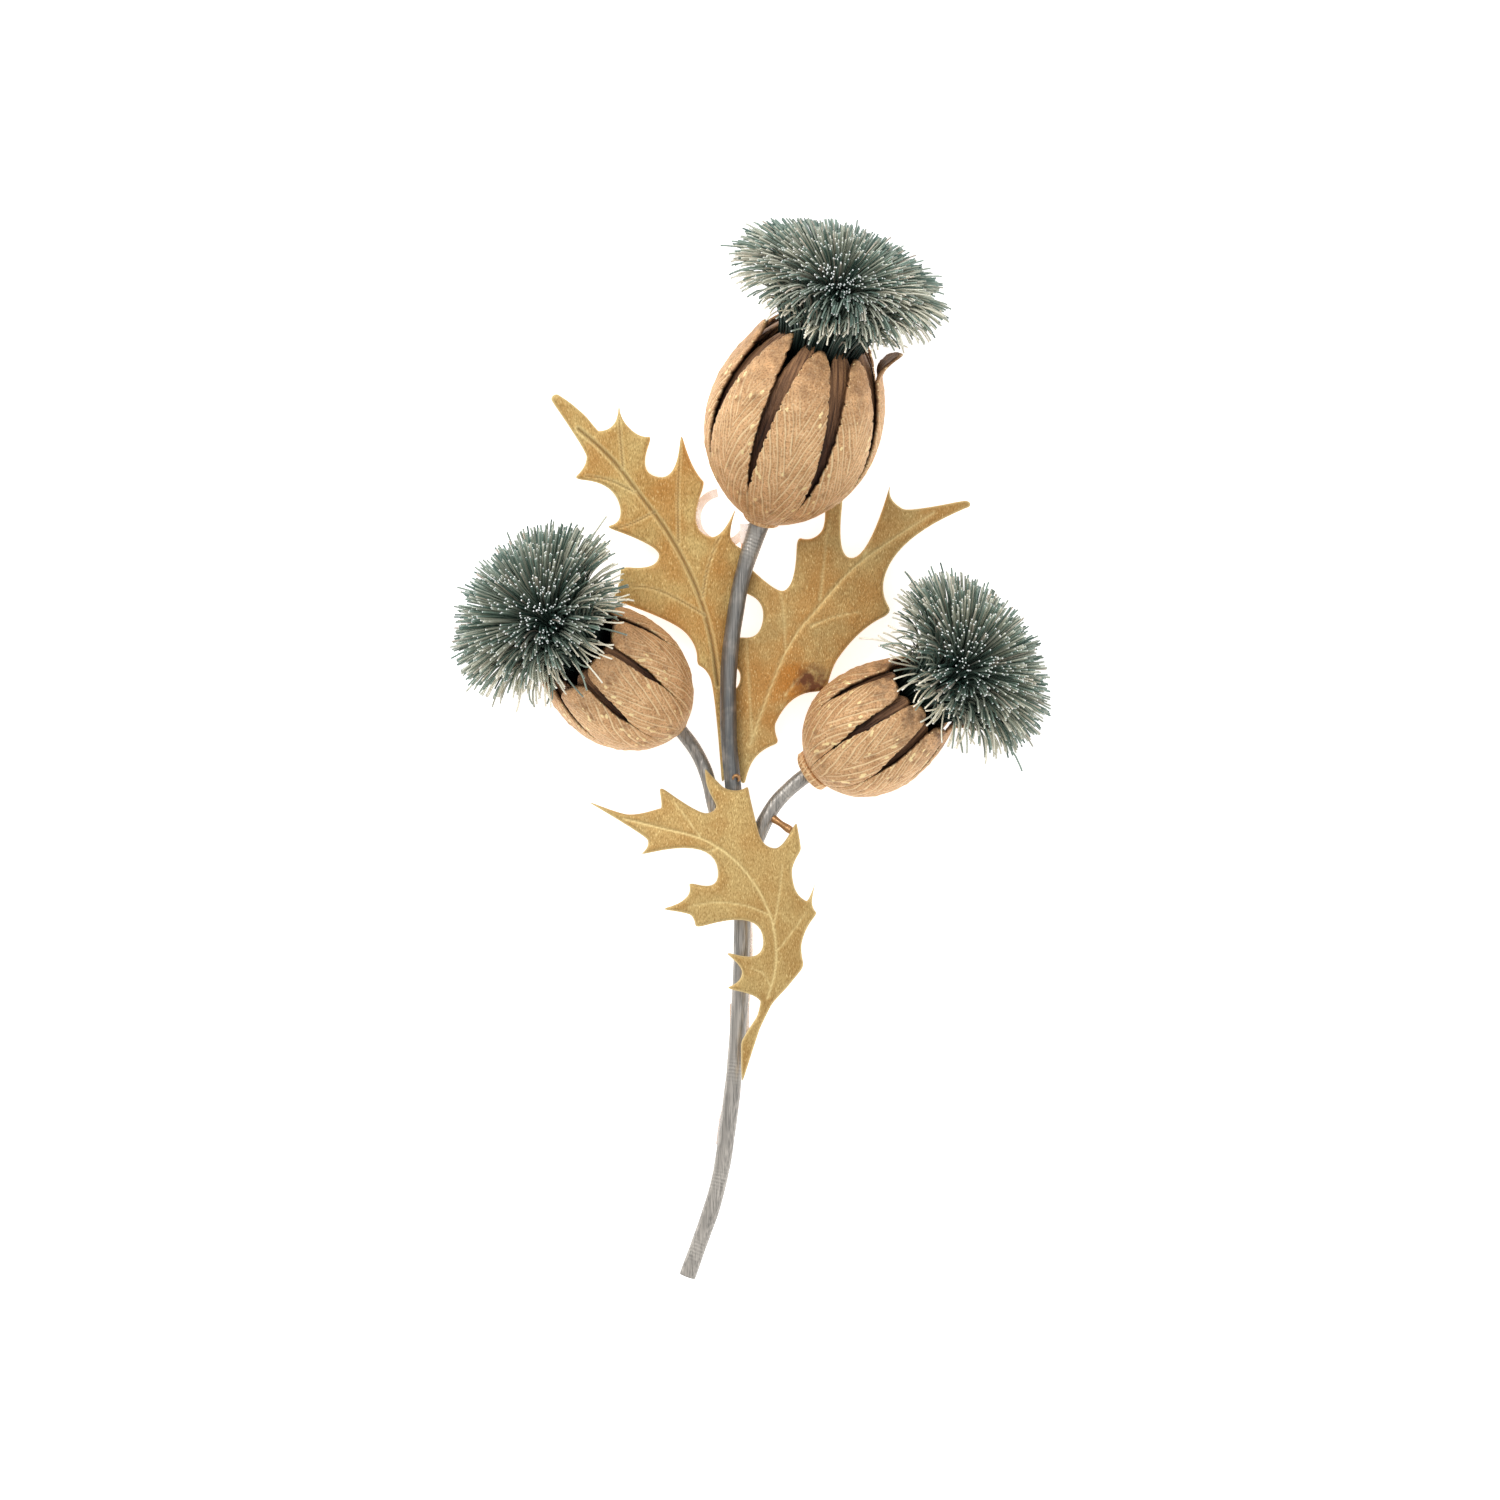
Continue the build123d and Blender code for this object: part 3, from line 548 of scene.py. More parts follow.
def bractGold():
    # Colour = rose gold with a fine matted grain, paler along drawn lines as painted highlights on their
    # raised ridges and browner on one cut side as painted shade, browner by stain and toward the mouth,
    # black by stain x noise x rise, bright in nicks and on torn edges as painted glints, dark beside pits
    # as painted shadow, and wood brown on inner sides with painted shade darker deeper down. The lines are
    # side veins (height less a multiple of the way out, swayed by noise), finer ones between them and arcs
    # about the foot. Relief = grain + raised lines + fibres of the wood - fine grain - cut sides of the
    # lines.
    surface, tree = startSurface("rose_gold")
    out, up, petal, rise, stain = [read(tree, name) for name in ("out", "up", "petal", "rise", "stain")]
    sway = noiseAt(tree, (out, 0.5), (up, 0.16), (petal, 1.0))
    patches = noiseAt(tree, (out, 0.6), (up, 0.35), (calc(tree, "ADD", petal, 9.0), 1.0))
    away, side = calc(tree, "ABSOLUTE", out), calc(tree, "SIGN", out)
    place = weighted(tree, (up, 0.4), (away, -1.35), (sway, 1.5), (petal, 0.37), (side, 0.25))
    between, about = times(tree, place, 2.0), weighted(tree, (up, 1.9), (sway, 2.0))
    vein = 0.0
    for route, width, strength in (
            (place, 0.17, spread(tree, patches, 0.38, 0.5, 0.3, 1.0)),
            (between, 0.22, spread(tree, patches, 0.56, 0.44, 0.0, 0.8)),
            (about, 0.2, spread(tree, up, 3.4, 2.0, 0.0, 0.6))):
        vein = calc(tree, "MAXIMUM", vein, times(tree, engraved(tree, route, width), strength))
    belowTip = spread(tree, rise, 0.93, 0.75)
    vein = times(tree, vein, belowTip)
    # One cut side of each drawn line is painted browner as shade; the lines are painted paler as highlights
    # on their raised ridges
    cutSideShade = times(tree, engraved(tree, calc(tree, "ADD", place, -0.15), 0.08), belowTip)
    fine = grain(tree, 0.17, 3.0)
    mouth = times(tree, spread(tree, rise, 0.65, 1.05), spread(tree, grain(tree, 0.9), 0.3, 0.7))
    soot = times(tree, stain, spread(tree, grain(tree, 1.1, 4.0), 0.46, 0.6))
    soot = times(tree, soot, spread(tree, rise, 0.7, 0.95))
    colour = painted(
        tree, gold(238, 189, 137),
        (spread(tree, grain(tree, 1.6, 3.0), 0.35, 0.7), 1.0, (206, 157, 108)),
        (stain, 0.3, (168, 128, 92)),
        (spread(tree, fine, 0.5, 0.7), 0.75, (146, 100, 64)),
        (spread(tree, fine, 0.42, 0.25), 0.8, (255, 230, 188)),
        (cutSideShade, 0.3, (146, 100, 64)),
        (vein, 0.9, (255, 228, 178)),
        (mouth, 0.6, (136, 102, 74)),
        (soot, 1.0, (66, 48, 38)))
    fibre = noiseAt(tree, (out, 4.5), (up, 0.3), (petal, 1.0), detail=3.0)
    strand = spread(tree, fibre, 0.35, 0.65)
    # Inner sides are wood brown, painted darker deeper down as shade
    high = blend(tree, strand, gold(164, 122, 86), gold(92, 64, 46))
    deepShade = blend(tree, strand, gold(88, 58, 40), gold(40, 26, 20))
    innerShaded = blend(tree, spread(tree, rise, 0.98, 0.66), high, deepShade)
    # Nicks and torn edges are painted bright as glints
    nickGlint = spread(tree, read(tree, "nickGlint"), 0.42, 0.6)
    colour = painted(
        tree, blend(tree, read(tree, "inner"), colour, innerShaded),
        # Painted shadow beside the pits
        (read(tree, "pitAndShadow"), 0.7, (120, 78, 48)),
        (nickGlint, 1.0, (255, 228, 168)))
    rough = spread(tree, nickGlint, 0.0, 1.0, 0.55, 0.28)
    relief = weighted(
        tree, (grain(tree, 0.5), 0.8), (fine, -1.0), (vein, 0.4), (cutSideShade, -0.4), (fibre, 0.8))
    finishSurface(tree, colour, 0.45, rough, relief, 0.08)
    return surface


def leafGold():
    # Colour = olive and orange gold by coarse noise and glow, greyer by dusk, darker in the engraved hatch,
    # dark in the cut of the veins as painted shade, pale on their raised sides and on the bevelled edge as
    # painted highlight, and darkened by soot x noise, which is soot about a scorched spot and painted shade
    # where a leaf meets a bulb. Hatch and relief = the larger of two noises that are stretched across each
    # other.
    surface, tree = startSurface("yellow_gold")
    hatch = calc(tree, "MAXIMUM", *[grain(tree, 0.11, 2.0, (1, 2.6, 1), turn) for turn in (28, -40)])
    soot = times(tree, read(tree, "soot"), grain(tree, 0.8, 4.0))
    warm = times(tree, read(tree, "glow"), spread(tree, grain(tree, 4.5, 2.0), 0.4, 0.62))
    colour = painted(
        tree, gold(214, 184, 118),
        (spread(tree, grain(tree, 2.6, 3.0), 0.38, 0.66), 1.0, (196, 156, 90)),
        (read(tree, "dusk"), 0.5, (154, 124, 84)),
        (warm, 1.0, (188, 124, 52)),
        (spread(tree, hatch, 0.52, 0.74), 0.65, (136, 100, 48)),
        (spread(tree, hatch, 0.47, 0.34), 0.65, (246, 222, 158)),
        # Painted shade in the cut of the veins, painted highlight beside them
        (read(tree, "vein"), 1.0, (104, 70, 28)),
        (read(tree, "veinHighlight"), 0.85, (255, 232, 166)),
        # The bevelled edge is painted pale as a highlight
        (read(tree, "edge"), 0.8, (240, 216, 156)),
        # Soot on the scorched spot and painted shade where a leaf meets a bulb
        (spread(tree, soot, 0.16, 0.48), 1.0, (104, 62, 34)))
    finishSurface(tree, colour, 0.5, spread(tree, hatch, 0.3, 0.7, 0.42, 0.6), hatch, 0.06)
    return surface


def wireSteel():
    # Colour = dark teal toned wire by wire, darker toward the base as painted shade inside the bundle,
    # paler toward the end as a painted sheen on about half of the wires that lie across the view (along x
    # front x a choice by tone), white on the cut end, partly bright metal and partly painted highlight
    surface, tree = startSurface("tuft_wire")
    tone, along, tip = [read(tree, name) for name in ("tone", "along", "tip")]
    chosen = calc(tree, "PINGPONG", times(tree, tone, 7.0), 1.0)
    # Painted sheen toward the end of wires that lie across the view
    light = times(tree, spread(tree, along, 0.35, 0.85), read(tree, "front"))
    light = times(tree, light, spread(tree, chosen, 0.35, 0.6, 0.12, 1.0))
    colour = painted(
        tree, gold(58, 90, 82),
        (spread(tree, tone, 0.0, 0.75), 1.0, (126, 150, 138)),
        (spread(tree, tone, 0.85, 1.0), 1.0, (172, 156, 144)),
        # Painted shade toward the base, inside the bundle
        (spread(tree, along, 0.58, 0.12), 1.0, (30, 38, 36)),
        (light, 1.0, (255, 248, 226)),
        # The cut end is painted white, partly bright metal and partly a painted highlight
        (tip, 1.0, (255, 255, 255)))
    metal = spread(tree, tip, 0.0, 1.0, 0.38, 0.1)
    finishSurface(tree, colour, metal, spread(tree, grain(tree, 0.2), 0.3, 0.7, 0.3, 0.45))
    return surface


def stemSteel():
    # Colour = grey steel, blue-black by tarnish x noise, paler on the ridges' crests as wear and painted
    # highlight, gold brown on solder.
    # Relief = fine lines along the stem, a noise that is stretched up it.
    surface, tree = startSurface("stem_silver")
    line = grain(tree, 0.12, 3.0, (1, 26, 1))
    tarnish = times(tree, read(tree, "tarnish"), spread(tree, grain(tree, 2.2, 3.0), 0.25, 0.5))
    colour = painted(
        tree, gold(186, 179, 170),
        (spread(tree, line, 0.35, 0.68), 1.0, (128, 125, 120)),
        (tarnish, 0.8, (80, 86, 90)),
        (read(tree, "wearAndSheen"), 0.6, (196, 190, 180)),
        (read(tree, "solder"), 1.0, (176, 134, 92)))
    finishSurface(tree, colour, 0.75, spread(tree, line, 0.3, 0.7, 0.34, 0.5), line, 0.05)
    return surface


def pinGold():
    # Colour = pale polished gold with a faint redder bloom by coarse noise; relief = fine wear
    surface, tree = startSurface("pin_metal")
    bloom = spread(tree, grain(tree, 3.0, 3.0), 0.4, 0.65)
    colour = painted(tree, gold(250, 236, 226), (bloom, 1.0, (236, 208, 186)))
    rough = spread(tree, grain(tree, 0.6), 0.3, 0.7, 0.22, 0.36)
    finishSurface(tree, colour, 0.7, rough, grain(tree, 0.25, 3.0), 0.02)
    return surface


# Bulbs, with the relief of their bracts, the sizes of their bowl and foot, and small gaps
nickHeight = 0.09
pitDepth = 0.1
cushionFall = 0.12
footBevel = 0.12
bowlWall = 0.5
bowlOverlap = 1.2
bractGap = 0.03
floorGap = 0.01


def bractPetals(head, inner):
    # Pointed bracts as closed skins: their outer side runs there and their inner side back
    maker = np.random.default_rng(head["seed"] + (20 if inner else 0))
    count = head["bracts"]
    number = np.arange(count)[:, None, None]
    half = 180.0 / count
    slitFoot = head["slitStart"] * head["length"]

    def chance(columns=1):
        return maker.random((count, 1, columns))

    if inner:
        rows, outerColumns, innerColumns = head["rows"] // 2, 15, 6
        nicks, pits, uneven = 0, 0, 0.4
        first, start, roundTip = head["innerTurn"], slitFoot, 1.5 * head["roundTip"]
        longer = head["innerLonger"] + head["innerRise"] + 0.3 * chance()
        inset, wall = bractWall + whorlGap, innerBractWall
    else:
        rows, outerColumns, innerColumns = head["rows"], 37, 8
        nicks, pits, uneven = 9, 7, 1.0
        first, start, roundTip = half, head["footLength"], head["roundTip"]
        longer = np.array(head["longer"])[:, None, None]
        inset, wall = 0.0, bractWall
    centre = np.radians(head["slitTurn"] + first + 2 * half * number)
    tip = head["length"] + longer
    height = start + (tip - start) * (1 - (1 - np.linspace(0, 1, rows)) ** 1.3)[None, :, None]
    across = np.concatenate([np.linspace(-1, 1, outerColumns), np.linspace(1, -1, innerColumns)])
    outside = np.concatenate([np.ones(outerColumns), np.zeros(innerColumns)])
    radius = wallRadius(head, height, inset)

    # Half the width in millimetres: the pitch less the slit, narrower toward a rounded tip, with
    # an uneven edge that is nibbled away here and there
    root = slitFoot + bractWall
    shoulder = tip - 0.5 * head["length"] * (1 - head["slitStart"])
    side = np.where(across < 0, 0, 1)
    cut = 0.75 + 0.6 * chance(2)[:, :, side]
    opened = np.clip((height - root) / (shoulder - root), 0, 1) ** head["opening"] * head["slitWidth"] / 2
    narrowed = head["narrowing"] * np.clip((height - shoulder) / (tip - shoulder), 0, 1) ** 1.5
    phase = 9 * chance(2)[:, :, side]
    nibble = np.clip(waves(height * 1.9 + phase, height * 3.7 - phase) - 0.1, 0, 1)
    snag = np.clip(waves(height * 6.5 + 2 * phase, height * 2.3 + phase), 0.25, 1) - 0.25
    ragged = head["slitWidth"] * (0.2 * nibble + 0.3 * snag) * np.clip((height - root + 1.0) / 2, 0, 1)
    past = np.clip((height - tip + roundTip) / roundTip, 0, 1)
    rounded = np.sqrt(1 - past ** head["blunt"] * 0.97)
    width = (radius * np.radians(half) - bractGap - opened * cut - narrowed - ragged * uneven) * rounded
    out = across * width
    turn = centre + out / radius

    # Outer bracts have nicks along their sides where the graver lifted the metal, painted bright as glints,
    # and pits beside small raised spots
    nickGlint, pitAndShadow = np.zeros(out.shape), np.zeros(out.shape)
    for _ in range(nicks):
        spotAcross = (chance() * 2 - 1) ** 3 * 0.2 + np.sign(chance() - 0.5) * 0.72
        spotUp = start + (tip - start) * (0.12 + 0.68 * chance())
        slant = 0.5 * np.sign(spotAcross)
        size = 0.22 + 0.26 * chance()
        aside, along = out - spotAcross * width, height - spotUp
        nickGlint = np.maximum(nickGlint, bump(along + aside * slant, size) * bump(aside - along * slant, 0.19))
    # Each pit is a dent painted dark as shadow on one side and bright as a glint on the other
    for _ in range(pits):
        aside = out - (chance() * 1.5 - 0.75) * width
        along = height - start - (tip - start) * (0.15 + 0.7 * chance())
        dent = bump(np.hypot(aside, along), 0.26 + 0.14 * chance())
        pitAndShadow = np.maximum(pitAndShadow, dent * np.clip(0.4 + 2.5 * aside, 0, 1))
        nickGlint = np.maximum(nickGlint, 1.3 * dent * np.clip(-4 * aside, 0, 1))

    # A soft cushion across, waves, and the tips that curl out, one of which leans aside
    cushion = cushionFall * np.abs(across) ** 3 * np.clip((height - start) / 3, 0, 1)
    bent = 0.18 * head["length"]
    if inner:
        flare = 0.25 * (chance() - 0.5) * np.clip((height - tip + bent) / bent, 0, 1) ** 2
        relief = flare * 0.5 - 0.03 * waves(out * 6 + number, out * 11 + height * 0.2) - cushion
    else:
        curl = np.array(head["curl"])[:, None, None]
        flare = curl * np.clip((height - tip + bent) / bent, 0, 1) ** 2
        leaning = np.radians(head["lean"]) * (number == 2)
        turn = turn + leaning * np.clip((height - tip + 2 * bent) / bent / 2, 0, 1)
        relief = flare - cushion + (nickHeight * nickGlint - pitDepth * pitAndShadow) * outside
        relief = relief + 0.03 * waves(height * 2, out * 3 + number)
        relief = relief + 0.012 * waves(height * 11, out * 13 + number)
        # Torn bits of the outer edges are painted bright as glints, through the same mask as the nicks
        edge = 0.8 * bump(1 - np.abs(across), 0.06) * outside * np.clip(6 * snag, 0, 1)
        nickGlint = np.maximum(np.clip(nickGlint * outside, 0, 1), edge)
    reach = radius + np.where(outside > 0, relief, flare - wall)
    values = dict(
        out=out, up=height, petal=number, nickGlint=nickGlint, pitAndShadow=pitAndShadow * outside, rise=height / head["length"],
        stain=head["stain"], inner=1.0 if inner else 1 - outside)
    return ringSkins(turned(turn, reach, height), values)


def bulbFoot(head):
    # Collar and bowl behind the bracts, turned about the head's own direction
    low, collar = head["footLength"], head["collar"]
    top = head["slitStart"] * head["length"] + bowlOverlap
    inset = bractWall + bractGap
    lower = np.linspace(low, top, 26)
    upper = np.linspace(top, low + footFloor, 16)
    edge = collar - footBevel
    rim = [(edge, 0), (collar, footBevel), (collar, low - footBevel), (edge, low)]
    outer = np.stack([wallRadius(head, lower, inset), lower], -1)
    inner = np.stack([wallRadius(head, upper, inset + bowlWall), upper], -1)
    profile = np.concatenate([[(0.3, 0)], rim, outer, inner, [(0.3, low + footFloor)]])
    turn = around(96)
    radius, height = profile[:, None, 0], profile[:, None, 1]
    wobble = 1 + 0.012 * np.sin(3 * turn + head["seed"]) + 0.008 * np.sin(7 * turn)
    inside = np.arange(len(profile))[:, None] > 1 + len(rim)
    # The collar's lower rim is painted bright through the glint mask, as wear and as a painted highlight
    wearAndSheen = 0.3 * (height < low) * bump(height - 0.1, 0.2)
    values = dict(
        out=radius * np.sin(turn), up=height, petal=0, nickGlint=wearAndSheen, pitAndShadow=0,
        rise=height / head["length"], stain=head["stain"] * 0.5, inner=inside)
    return ringSkins(turned(turn, radius * np.where(height < low, wobble, 1.0), height)[None], values)


def addBulb(head, surface):
    skin = joined([bulbFoot(head), bractPetals(head, True), bractPetals(head, False)])
    skin["points"] = onHead(head, skin["points"])
    skin["points"][:, 2] = np.maximum(skin["points"][:, 2], floorGap)
    addPiece(head["name"] + "_bulb", head["name"] + "_calyx", skin, surface)


# Tufts, with the sizes of their wires. Share is how far along a wire each of its rings lies; the
# last one closes its cut end.
wireRadius = 0.087
wireShares = np.array((0.0, 0.26, 0.46, 0.62, 0.76, 0.88, 0.97, 1.0, 1.0005))
wireGirths = wireRadius * np.array((1, 1, 1, 1, 1, 1, 1, 0.98, 0.75))
wireRoot = 2.6
wiresToClump = 13
boxMargin = 0.2


def addTuft(head, surface):
    # Wires rise in a bundle from the mouth and bend away from a parting on the head's direction.
    # Their ends lie on the tuft's form, deeper where they face the front, and lean into clumps.
    maker = np.random.default_rng(head["seed"] + 40)
    count = head["wires"]

    def shaken(places, size):
        return places + size * maker.standard_normal(places.shape)

    neck = head["length"] + head["innerRise"] + tuftFit
    high = head["tuftHeight"] - neck
    bundle = float(wallRadius(head, neck, bractWall + whorlGap + innerBractWall)) - tuftFit
    form = cornerCut(head["rings"], 2) * (head["tuftRadius"], high)
    run = np.linalg.norm(np.diff(form, axis=0), axis=1)
    area = np.concatenate([[0], np.cumsum(run * (form[1:, 0] + form[:-1, 0]) / 2)])
    order = (np.arange(count) + 0.5) / count
    place = np.clip(shaken(order, 0.02), 0, 1) * area[-1]
    turn = shaken(np.arange(count) * math.pi * (3 - math.sqrt(5)), 0.12)
    parting = np.array((0, 0, neck + head["parting"] * high))
    out, up = [np.interp(place, area, side) for side in form.T]
    ends = turned(turn, out, neck + up) - parting
    centres = ends[::wiresToClump]
    nearest = np.linalg.norm(ends[:, None] - centres, axis=-1).argmin(1)
    ends = ends + (centres[nearest] - ends) * 0.5 * maker.random((count, 1))

    # Some outer wires at the front have fallen, in some heads to the mouth and in others part way
    fallen = (maker.random(count) < 0.25) & (order > 0.55) & (np.cos(turn) > 0.1)
    toMouth = maker.random(count) * 2.8 - 1.4
    partWay = 3.2 + 1.6 * maker.random(count)
    level = neck + head["fallen"] * toMouth + (1 - head["fallen"]) * partWay
    out = (0.5 + 0.1 * head["fallen"] + 0.32 * maker.random(count)) * head["tuftRadius"]
    ends = np.where(fallen[:, None], turned(turn, out, level) - parting, ends)

    # Each wire's length, shorter in the crater that faces the front, with a few strays beyond
    tilt = math.radians(head["tilt"])
    toFront = np.array((math.cos(tilt), 0, math.sin(tilt)))
    way = unit(ends)
    apart = np.arccos(np.clip(way @ toFront, -1, 1))
    length = 0.985 - 0.13 * maker.random(count) ** 1.5
    length = length - head["crater"] * bump(apart, 0.65) * (0.7 + 0.6 * maker.random(count))
    stray = (maker.random(count) < 0.03) & (order > 0.35)
    length = np.where(stray, 1.02 + 0.1 * maker.random(count), length)
    tips = ends * length[:, None] + parting

    # Knots of each wire's curve: its root, a point above it, one before the tip, and the tip,
    # which is brought back inside the part's own box where it would pass it
    rootOut = 0.97 * bundle * np.sqrt(order)
    stand = np.interp(order, (0, 1), (0.62, 0.72)) * (tips[:, 2] - neck)
    stand = np.where(fallen, np.maximum(stand, 2.4 + 1.8 * maker.random(count)), stand)
    root = turned(turn, rootOut, neck - wireRoot)
    above = shaken(turned(turn, rootOut * (1.02 + 0.2 * order), neck + stand), 0.25)
    reach = 0.45 * np.linalg.norm(tips - root * (1, 1, 0) - (0, 0, neck), axis=1)
    fall = head["droop"] * order ** 2 * (0.6 + 0.4 * np.cos(turn))
    before = tips - unit(way - fall[:, None] * (0, 0, 1)) * reach[:, None]
    before = shaken(before, 0.15 + 0.6 * fallen[:, None])
    tips = shaken(tips, 0.17 + 0.3 * stray[:, None])
    lowest, highest = np.array(cadBox) / millimetre
    tips = np.clip(onHead(head, tips), lowest + boxMargin, highest - boxMargin)
    tips = (tips - onHead(head, np.zeros(3))) @ headAxes(head).T
    share, rest = wireShares[:, None], 1 - wireShares[:, None]
    weights = (rest ** 3, 3 * share * rest ** 2, 3 * share ** 2 * rest, share ** 3)
    line = sum(knot[:, None] * weight for knot, weight in zip((root, above, before, tips), weights))

    run = unit(np.gradient(line, axis=1))
    aside = unit(np.cross(run, turned(turn, 1.0, 0.3)[:, None]))
    over = np.cross(run, aside)
    spokes = around(5)[:, None]
    spokes = np.cos(spokes) * aside[:, :, None] + np.sin(spokes) * over[:, :, None]
    rings = line[:, :, None] + wireGirths[:, None, None] * spokes
    # Weight of a painted sheen: wires that lie across the view, more toward the front, and fallen wires
    sideways = np.clip(1.25 * np.linalg.norm(np.cross(way, toFront), axis=-1) - 0.25, 0, 1)
    paintedSheen = sideways * np.clip(0.5 + 0.7 * tips[:, 0] / head["tuftRadius"], 0.2, 1)
    paintedSheen = np.where(fallen, 1.4, paintedSheen)
    values = dict(
        along=share, tone=maker.random((count, 1, 1)), front=paintedSheen[:, None, None],
        tip=(share > 1.0) * (0.7 + 0.3 * maker.random((count, 1, 1))))
    skin = ringSkins(rings, values)
    skin["points"] = onHead(head, skin["points"])
    addPiece(head["name"] + "_wires", head["name"] + "_tuft", skin, surface)


# Leaves, with the spacing of their points, the width of their bevelled edge and a scorched spot
leafSpacing = 0.165
bevelWidth = 0.28
sootSpot = (7.5, 9.8)


def leafOutline(leaf, rows):
    # Every hollow is two curves that meet in its lowest point and run out to the tips beside it,
    # and every tip is rounded off over a short way along both of its sides
    def place(up, out):
        across = leaf["side"] * (leaf["baseOut"] + out * leaf["spread"])
        return np.stack([across, leaf["baseUp"] + up * leaf["height"]], -1)

    tipUp, tipOut, hollowUp, hollowOut, roundBefore, roundAfter = np.array(rows).T
    tips, hollows = place(tipUp, tipOut), place(hollowUp, hollowOut)
    ends = np.roll(tips, -1, 0)
    way = unit(unit(hollows - tips) + unit(ends - hollows))
    near = hollows - way * (roundBefore * np.linalg.norm(hollows - tips, axis=1))[:, None]
    far = hollows + way * (roundAfter * np.linalg.norm(ends - hollows, axis=1))[:, None]
    starts, stops = pastTip(tips, near), pastTip(ends, far)
    share = np.linspace(0, 1, 10, endpoint=False)[:, None, None]
    curves = [curved(share, starts, near, hollows), curved(share, hollows, far, stops),
              curved(share, stops, ends, np.roll(starts, -1, 0))]
    outline = np.concatenate(curves).transpose(1, 0, 2).reshape(-1, 2)
    if leaf is not lowerLeaf:
        line = mainStemAt(outline[:, 1])[:, 0] * leaf["side"] + leafParting / 2
        outline[:, 0] = leaf["side"] * np.maximum(leaf["side"] * outline[:, 0], line)
    return outline


def pastTip(tip, aim):
    # Where a side that leaves the tip toward aim is clear of the rounding
    way = aim - tip
    length = np.linalg.norm(way, axis=1)
    return tip + way * (np.minimum(tipRounding, 0.3 * length) / np.maximum(length, 1e-9))[:, None]


def within(points, outline):
    # Counts the outline's edges to the right of each point: an odd count means inside
    start, end = outline, np.roll(outline, -1, 0)
    level = (start[:, 1] > points[:, None, 1]) != (end[:, 1] > points[:, None, 1])
    rise = np.where(end[:, 1] == start[:, 1], 1e-9, end[:, 1] - start[:, 1])
    cross = start[:, 0] + (points[:, None, 1] - start[:, 1]) * (end[:, 0] - start[:, 0]) / rise
    return (level & (points[:, None, 0] < cross)).sum(1) % 2 == 1


def topOfLeaf(leaf, across, up):
    # Upper leaves are bent about the stem's direction; the lower one is bent across and arched along
    side, bend = leaf["side"], leaf["bend"]
    if leaf is not lowerLeaf:
        seat = side * stemLean * leaf["seat"]
        seatDrop = bend - math.sqrt(bend ** 2 - (leaf["crest"] - seat) ** 2)
        drop = bend - np.sqrt(bend ** 2 - (side * across - leaf["crest"]) ** 2)
        return stemHeight - stemDiameter / 2 - solderGap + seatDrop - drop
    crestAcross = side * leaf["crest"]
    crestUp = leaf["baseUp"] + leaf["archUp"] * leaf["height"]

    def fall(at, height, thinner):
        section = np.sqrt((bend - thinner) ** 2 - (at - crestAcross) ** 2) - (bend - thinner)
        arch = leaf["arch"] - thinner
        return np.sqrt((arch + section) ** 2 - (height - crestUp) ** 2) - arch

    spots = mainStemAt(leaf["baseUp"] + leaf["height"] * np.linspace(0, 1, 201))
    need = spots[:, 2] + stemDiameter / 2 + solderGap
    crest = (need - fall(spots[:, 0], spots[:, 1], leafThickness)).max()
    return crest + leafThickness + fall(across, up, 0.0)


def bulbDepth(head, points):
    # How far outside the filled bulb a point lies, below zero inside it
    local = (points - headFoot(head)) @ headAxes(head).T
    height = np.clip(local[:, 2], head["footLength"], head["length"])
    away = np.hypot(local[:, 0], local[:, 1]) - wallRadius(head, height)
    past = np.maximum(local[:, 2] - head["length"], -local[:, 2])
    return np.maximum(away, past)


def sootAndShadeOn(leaf, points):
    # Painted shade where an upper leaf meets a side bulb, and soot about one scorched spot of the right
    # leaf
    away = np.maximum(np.min([bulbDepth(head, points) for head in (leftHead, rightHead)], 0), 0)
    if leaf is rightLeaf:
        return np.maximum(aboutSpot(points, sootSpot, 1.9), 0.7 * bump(away, 1.2))
    return 0.45 * (leaf is leftLeaf) * bump(away, 1.6)


